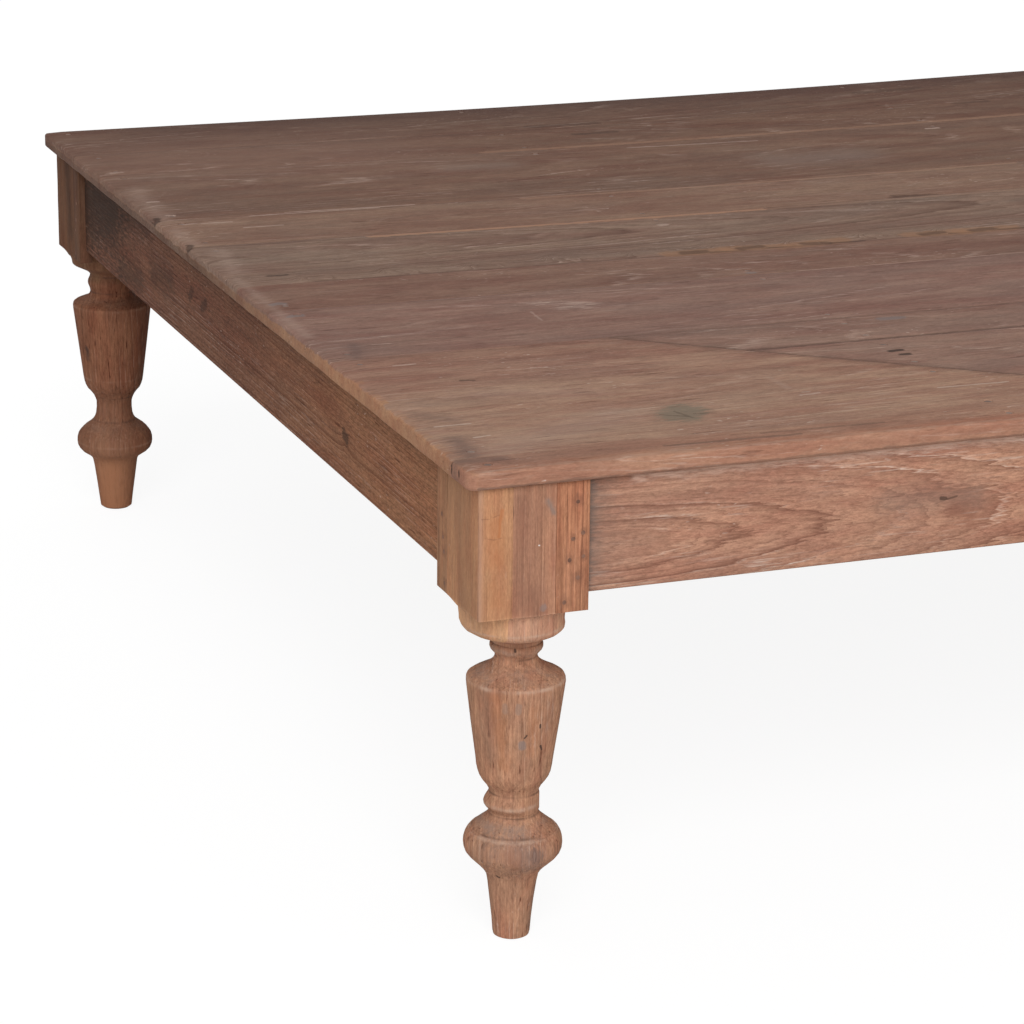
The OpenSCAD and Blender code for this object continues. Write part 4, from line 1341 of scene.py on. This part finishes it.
def knock_off_bead(leg, axis):
    """Breaks the low bead away, from just right of its front to its right and back."""
    place = (*axis, BEAD_Z)
    bpy.ops.mesh.primitive_cylinder_add(
        vertices=48, radius=BEAD_REACH, depth=BEAD_HIGH, location=place,
    )
    ring = bpy.context.object
    bpy.ops.mesh.primitive_cylinder_add(
        vertices=LEG_SIDES, radius=NECK_RADIUS, depth=0.05, location=place,
    )
    carve(ring, bpy.context.object)
    for bearing, turn in ((BREAK_FROM, 1), (BREAK_TO, -1)):
        x, y = math.cos(math.radians(bearing)), math.sin(math.radians(bearing))
        saw_off(ring, Vector(place), Vector((y, -x, 0)) * turn)
    carve(leg, ring)


def leg_blank(low, high, is_outer):
    """The square stick that a leg is turned from, with rounded and worn edges."""
    blank = block("blank", (low.x, low.y, 0), high)
    round_edges(blank, lambda a, b: tall(a, b) and is_outer(a), OUTER_EDGE, 4)
    round_edges(
        blank, lambda a, b: tall(a, b) and not is_outer(a) and a.z * b.z == 0, INNER_EDGE, 2,
    )
    for axis, step in BLANK_SLICES:
        slice_up(blank, axis, step)
    wear_down(blank, BLOCK_WEAR, BLOCK_GRAIN, lambda p: p.z > 0.25)
    return blank


def make_leg(corner, low, high, cheeks):
    """A turned leg under its square block, with the slots for its cheek strips."""
    side, back = CORNERS[corner]
    axis = ((low.x + high.x) / 2, (low.y + high.y) / 2)
    block_z = cheeks[0][0].z

    def is_outer(p):
        return (p.x - axis[0]) * side > 0 and (p.y - axis[1]) * back > 0

    lean = LEANS.get(corner, CENTRED)
    leg = turn_leg(TURNINGS[PATTERNS[back]], axis, block_z, high.z, lean)
    wear_down(leg, TURNING_WEAR, TURNING_GRAIN, lambda p: FOOT_CLEAR < p.z < block_z - COVE_CLEAR)
    if corner in LEANS:
        off = lean[1] * LEAN_AT_BEAD
        knock_off_bead(leg, (axis[0] + off.x, axis[1] + off.y))
    carve(leg, leg_blank(low, high, is_outer), "INTERSECT")
    room = Vector((SLOT_ROOM,) * 3)
    for cheek_low, cheek_high in cheeks:
        carve(leg, block("slot", cheek_low - room, cheek_high + room + Vector((0, 0, 0.001))))
    return leg


def split_leg(leg, corner, outer_box):
    """Parts a leg along its glue line. The feather on the foot stays with the inner stave."""
    side, _ = CORNERS[corner]
    low = outer_box[0] - HALF_ROOM * Vector((side < 0, 1, 0))
    high = outer_box[1] + HALF_ROOM * Vector((side > 0, 1, 1))
    stave = copy_of(leg, "leg_%s_outer" % corner)
    carve(stave, block("half", low, high), "INTERSECT")
    carve(leg, block("half", low, high))
    leg.name = leg.data.name = "leg_%s_inner" % corner
    return {"outer": stave, "inner": leg}


# The finishes of the legs

LEG_COLOURS = {
    "front_left": dict(
        turned=(0.38, 0.193, 0.12), outer=(0.415, 0.205, 0.112), inner=(0.365, 0.176, 0.111),
        long=(0.383, 0.17, 0.098), end=(0.317, 0.157, 0.089),
    ),
    "front_right": dict(
        turned=(0.34, 0.17, 0.104), outer=(0.33, 0.155, 0.085), inner=(0.35, 0.155, 0.085),
        long=(0.33, 0.15, 0.085), end=(0.29, 0.145, 0.085),
    ),
    "rear_left": dict(
        turned=(0.195, 0.082, 0.048), outer=(0.128, 0.058, 0.033), inner=(0.136, 0.058, 0.033),
        long=(0.12, 0.058, 0.036), end=(0.12, 0.058, 0.036),
    ),
    "rear_right": dict(
        turned=(0.24, 0.115, 0.072), outer=(0.23, 0.11, 0.07), inner=(0.21, 0.1, 0.064),
        long=(0.23, 0.11, 0.07), end=(0.22, 0.106, 0.068),
    ),
}
RUST = (0.13, 0.062, 0.044)
ORANGE_STAIN = (0.4, 0.15, 0.062)
DUST = (0.27, 0.185, 0.145)
GROOVE = (0.085, 0.046, 0.034)
SEAM_BROWN = (0.17, 0.082, 0.058)
PALE_CORNER = (0.45, 0.27, 0.19)
GREY_RUB = (0.22, 0.160, 0.135)
SIDE_BROWN = (0.24, 0.130, 0.078)
NECK_BROWN = (0.19, 0.115, 0.082)
BEAD_BROWN = (0.20, 0.125, 0.092)
BULB_GREY = (0.19, 0.135, 0.118)
BULB_PAINTED_SHADE = (0.10, 0.055, 0.042)
FOOT_PAINTED_SHADE = (0.12, 0.075, 0.062)
REAR_BULB = (0.20, 0.120, 0.082)
REAR_OLIVE = (0.17, 0.090, 0.045)
REAR_FOOT = (0.34, 0.155, 0.082)
LEG_IRON = ((0.13, 0.065, 0.045), (0.21, 0.112, 0.078))
STAIN_LONG, STAIN_WIDE, STAIN_VARIES = 0.002, 0.0038, 0.0012
BLOCK_FACE = -0.6880

# Height and width of the rubbed rims, crevices and dusty shoulders of each turning
RIMS = {
    "front": [
        (0.0975, 0.0016), (0.1215, 0.0022), (0.2325, 0.002), (0.2575, 0.0038), (0.281, 0.0014),
    ],
    "rear": [(0.08, 0.0016), (0.156, 0.0016), (0.24, 0.002)],
}
# The dark lines in the crevices are partly dirt, partly painted shade
CREVICES = {
    "front": [
        (0.0992, 0.001), (0.1125, 0.0012), (0.1315, 0.0012), (0.252, 0.0012), (0.2642, 0.001),
        (0.269, 0.0012),
    ],
    "rear": [(0.105, 0.0014), (0.133, 0.001), (0.256, 0.0014), (0.275, 0.0014)],
}
SHOULDERS = {
    "front": [(0.1045, 0.0045), (0.2400, 0.0056), (0.2600, 0.0030)],
    "rear": [(0.0990, 0.0045), (0.2470, 0.0040)],
}
RIM_RUB = {"front": 0.66, "rear": 0.16}


def on_block(start, end, *look):
    """A mark on the front of the near block, placed by height and along the table."""
    return ((*start, BLOCK_FACE), (*end, BLOCK_FACE), *look)


# Places on a leg are given by height, along the table and across it
LEG_MARKS = {
    "front_left": [
        # Small cracks and grey spots on the turned part
        ((0.201, -0.6684, -0.6765), (0.1985, -0.6682, -0.6765), 0.0008, INK, 0.85, 2.2),
        ((0.193, -0.6802, -0.6762), (0.1908, -0.6818, -0.6755), 0.0007, INK, 0.8, 2.2),
        ((0.1812, -0.6668, -0.6733), (0.1775, -0.6655, -0.6727), 0.0008, INK, 0.85, 2.2),
        ((0.265, -0.6855, -0.66), (0.2615, -0.685, -0.6599), 0.001, INK, 0.85, 0.8),
        ((0.061, -0.6975, -0.654), (0.06, -0.695, -0.655), 0.001, INK, 0.8, 0.8),
        ((0.185, -0.6837, -0.6747), (0.182, -0.6832, -0.6745), 0.003, GREY_SMEAR, 0.55, 1.4),
        ((0.22, -0.6881, -0.678), (0.215, -0.6885, -0.6776), 0.0026, DUST, 0.55, 1.6),
        ((0.22, -0.6986, -0.6733), (0.215, -0.6986, -0.673), 0.0026, DUST, 0.45, 1.6),
        ((0.087, -0.675, -0.681), (0.085, -0.669, -0.6805), 0.0055, DULL_DARK, 0.35, 2.0),
        ((0.056, -0.6915, -0.659), (0.006, -0.689, -0.662), 0.0007, LIMED, 0.6, 2.6),
        ((0.052, -0.696, -0.658), (0.02, -0.693, -0.662), 0.0006, LIMED, 0.5, 2.6),
        # The square block: a repaired nail hole, cracks in the orange figure and grey nail stains
        on_block((0.3611, -0.676), (0.3611, -0.6756), 0.0008, WHITE_SPECK, 0.8, 1.0),
        on_block((0.3882, -0.7268), (0.3878, -0.719), 0.0006, RUST, 0.4, 1.6),
        on_block((0.3888, -0.716), (0.3905, -0.7106), 0.0006, RUST, 0.35, 1.6),
        on_block((0.3718, -0.7228), (0.3698, -0.715), 0.0006, RUST, 0.4, 1.6),
        on_block((0.3698, -0.715), (0.3708, -0.708), 0.0006, RUST, 0.4, 1.6),
        on_block((0.394, -0.7085), (0.372, -0.711), 0.0014, ORANGE_STAIN, 0.6, 2.4),
        on_block((0.3076, -0.6718), (0.3072, -0.6715), 0.003, GREY_SMEAR, 0.5, 1.6),
        ((0.302, -0.6985, -0.6885), (0.413, -0.6985, -0.6885), 0.0008, GROOVE, 0.55, 1.6),
    ],
    "rear_left": [
        ((0.193, -0.718, 0.62), (0.181, -0.717, 0.62), 0.0045, INK, 0.8, 1.6),
    ],
}
LEG_HAZES = {
    "front_left": [
        # The corner of the block is rubbed pale, its seam side is darker
        on_block((0.3, -0.728), (0.413, -0.728), 0.0042, PALE_CORNER, 0.7, 0.8),
        on_block((0.31, -0.693), (0.4, -0.693), 0.008, SEAM_BROWN, 0.35, 1.2),
        on_block((0.398, -0.6685), (0.388, -0.6635), 0.003, GREY_RUB, 0.75, 1.6),
        on_block((0.385, -0.713), (0.35, -0.713), 0.009, ORANGE_STAIN, 0.4, 1.6),
        on_block((0.33, -0.715), (0.315, -0.713), 0.008, ORANGE_STAIN, 0.3, 1.6),
        on_block((0.32, -0.681), (0.305, -0.678), 0.012, SEAM_BROWN, 0.4, 1.2),
        ((0.31, -0.728, -0.655), (0.41, -0.728, -0.63), 0.03, SIDE_BROWN, 0.45, 1.2),
        ((0.235, -0.715, -0.665), (0.17, -0.706, -0.66), 0.01, NECK_BROWN, 0.4, 1.6),
        ((0.11, -0.715, -0.66), (0.085, -0.715, -0.66), 0.016, BEAD_BROWN, 0.45, 1.6),
        ((0.225, -0.705, -0.67), (0.165, -0.698, -0.668), 0.008, ORANGE_STAIN, 0.32, 2.4),
        ((0.215, -0.676, -0.68), (0.175, -0.674, -0.675), 0.006, ORANGE_STAIN, 0.22, 2.4),
        ((0.105, -0.7, -0.68), (0.08, -0.68, -0.68), 0.022, BULB_GREY, 0.5, 2.4),
        ((0.092, -0.695, -0.679), (0.075, -0.688, -0.676), 0.009, ORANGE_STAIN, 0.2, 2.4),
        # Painted shade on the right side of the bulb and of the foot
        ((0.093, -0.64, -0.67), (0.08, -0.642, -0.665), 0.009, BULB_PAINTED_SHADE, 0.45, 2.4),
        ((0.05, -0.66, -0.65), (0.01, -0.666, -0.652), 0.004, FOOT_PAINTED_SHADE, 0.5, 2.4),
    ],
    "rear_left": [
        ((0.11, -0.7, 0.6), (0.07, -0.7, 0.6), 0.045, REAR_BULB, 0.35, 2.0),
        ((0.31, -0.728, 0.6), (0.4, -0.728, 0.6), 0.013, REAR_OLIVE, 0.5, 1.6),
        ((0.33, -0.728, 0.63), (0.4, -0.728, 0.64), 0.016, SOOT_AND_SHADOW, 0.5, 1.6),
        ((0.000, -0.69, 0.62), (0.05, -0.69, 0.62), 0.04, REAR_FOOT, 0.75, 1.0),
    ],
}

BLOCK_LOOKS = {
    "outer": dict(line=0.20, lime=0.05, fibre=0.80, dashes=0.30),
    "inner": dict(line=0.50, lime=0.10, fibre=1.00, dashes=0.45),
}
COLLAR_LOOKS = dict(dashes=0.35, fibre=1.2, line=0.30)
# The collar is made lighter than the block: partly its own yellower colour, partly painted light
# for the shade under the block
COLLAR_TONE_AND_LIGHT = (1.34, 1.46, 1.50)
COLLAR_FROM, COLLAR_TO, BLOCK_EDGE = 0.036, 0.028, 0.002
CHEEK_LOOKS = {
    "long": dict(lime=0.08, line=0.75, spacing=0.0030, dashes=0.45),
    "end": dict(lime=0.08, line=0.35, spacing=0.0045, dashes=0.30),
}


def block_over_turning(block_z, colour, looks):
    """The square block has a colour and a figure of its own above the turned part."""
    def tint(shop, grain):
        z = shop.split(grain)[0]
        # Partly painted light: the collar lies in the block's shade
        on_collar = shop.step(z, block_z - COLLAR_FROM, block_z - COLLAR_TO)
        on_square = shop.step(z, block_z - BLOCK_EDGE, block_z + BLOCK_EDGE)
        return (on_collar, toned(colour, COLLAR_TONE_AND_LIGHT), COLLAR_LOOKS), (on_square, colour, looks)
    return tint


def leg_bands(pattern):
    """The dusty shoulders, rubbed rims and dark crevices that run round a turned leg."""
    return [
        (height, width, ink, strength, ragged)
        for rings, ink, strength, ragged in (
            (SHOULDERS, DUST, RIM_RUB[pattern], 1.6), (RIMS, PALE_EDGE, RIM_RUB[pattern], 2.0),
            (CREVICES, GROOVE, 0.65, 1.2),
        )
        for height, width in rings[pattern]
    ]


def leg_looks(low, high, side, back):
    """What the turned part, the block and the cheeks of a leg have in common."""
    middle = (low + high) / 2
    rear = back > 0
    return dict(
        pith=(0, middle.x + 0.28 * side, middle.y + 0.108), taper=0.012, spacing=0.0046,
        wander=0.009, line=0.55, lime=0.20 if rear else 0.65, fibre=2.0, short=0.35, patch=2.0,
        grit=0.7, dashes=0.95, haze=0.65, specks=0.05 if rear else 0.25, through=0.0,
    )


def small_nails(node, side, back):
    """The heads of the small nails of a leg, and a rust stain round each."""
    heads, stains = [], []
    for index, (low, high) in enumerate(islands(node)):
        size, place = high - low, (low + high) / 2
        if size.y > size.x:
            facing = "front" if back < 0 else "back"
            place.y = (low.y if back < 0 else high.y) - back * SMALL_HEAD_DEPTH
            wide, long = size.x, size.y
        else:
            facing = "left" if side < 0 else "right"
            place.x = (low.x if side < 0 else high.x) - side * SMALL_HEAD_DEPTH
            wide, long = size.y, size.x
        heads.append(nail_head(place, wide, facing, long - SHANK_LOSS, index))
        start, end = (place.z, place.x, place.y), (place.z + STAIN_LONG, place.x, place.y)
        stain_wide = STAIN_WIDE + STAIN_VARIES * math.sin(index * 1.9)
        stains.append((start, end, stain_wide, RUST, 0.32, 2.4))
    return heads, stains


leg_iron = iron("nail iron of the legs", *LEG_IRON)
for number, (corner, (side, back)) in enumerate(CORNERS.items()):
    stave_boxes = [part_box("leg_%s_%s_stave" % (corner, kind)) for kind in ("outer", "inner")]
    low = Vector([min(box[0][i] for box in stave_boxes) for i in range(3)])
    high = Vector([max(box[1][i] for box in stave_boxes) for i in range(3)])
    cheeks = [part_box("cheek_%s_%s" % (corner, kind)) for kind in ("long", "end")]
    leg = make_leg(corner, low, high, cheeks)
    colours = LEG_COLOURS[corner]
    looks = leg_looks(low, high, side, back)
    for kind, stave in split_leg(leg, corner, stave_boxes[0]).items():
        finish = teak(
            "leg %s %s stave" % (corner.replace("_", " "), kind), "Z", colours["turned"],
            31 + number, marks=LEG_MARKS.get(corner, ()), hazes=LEG_HAZES.get(corner, ()),
            bands=leg_bands(PATTERNS[back]),
            tint=block_over_turning(cheeks[0][0].z, colours[kind], BLOCK_LOOKS[kind]), **looks,
        )
        finish_piece(stave, finish, "leg_%s_%s_stave" % (corner, kind))
    node = "cheek_nails_" + corner
    heads, stains = small_nails(node, side, back)
    nails = join_up(heads, node.replace("cheek_nails", "small_nails"))
    finish_piece(nails, leg_iron, node)
    for kind in ("long", "end"):
        node = "cheek_%s_%s" % (corner, kind)
        cheek = block(node.replace("cheek", "cheek_strip"), *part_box(node))
        round_edges(cheek, lambda a, b: True, CHEEK_EDGE, 2)
        cheek_looks = looks | CHEEK_LOOKS[kind] | dict(marks=stains)
        finish = teak(node.replace("_", " "), "Z", colours[kind], 41 + number, **cheek_looks)
        finish_piece(cheek, finish, node)
sag(sagging)
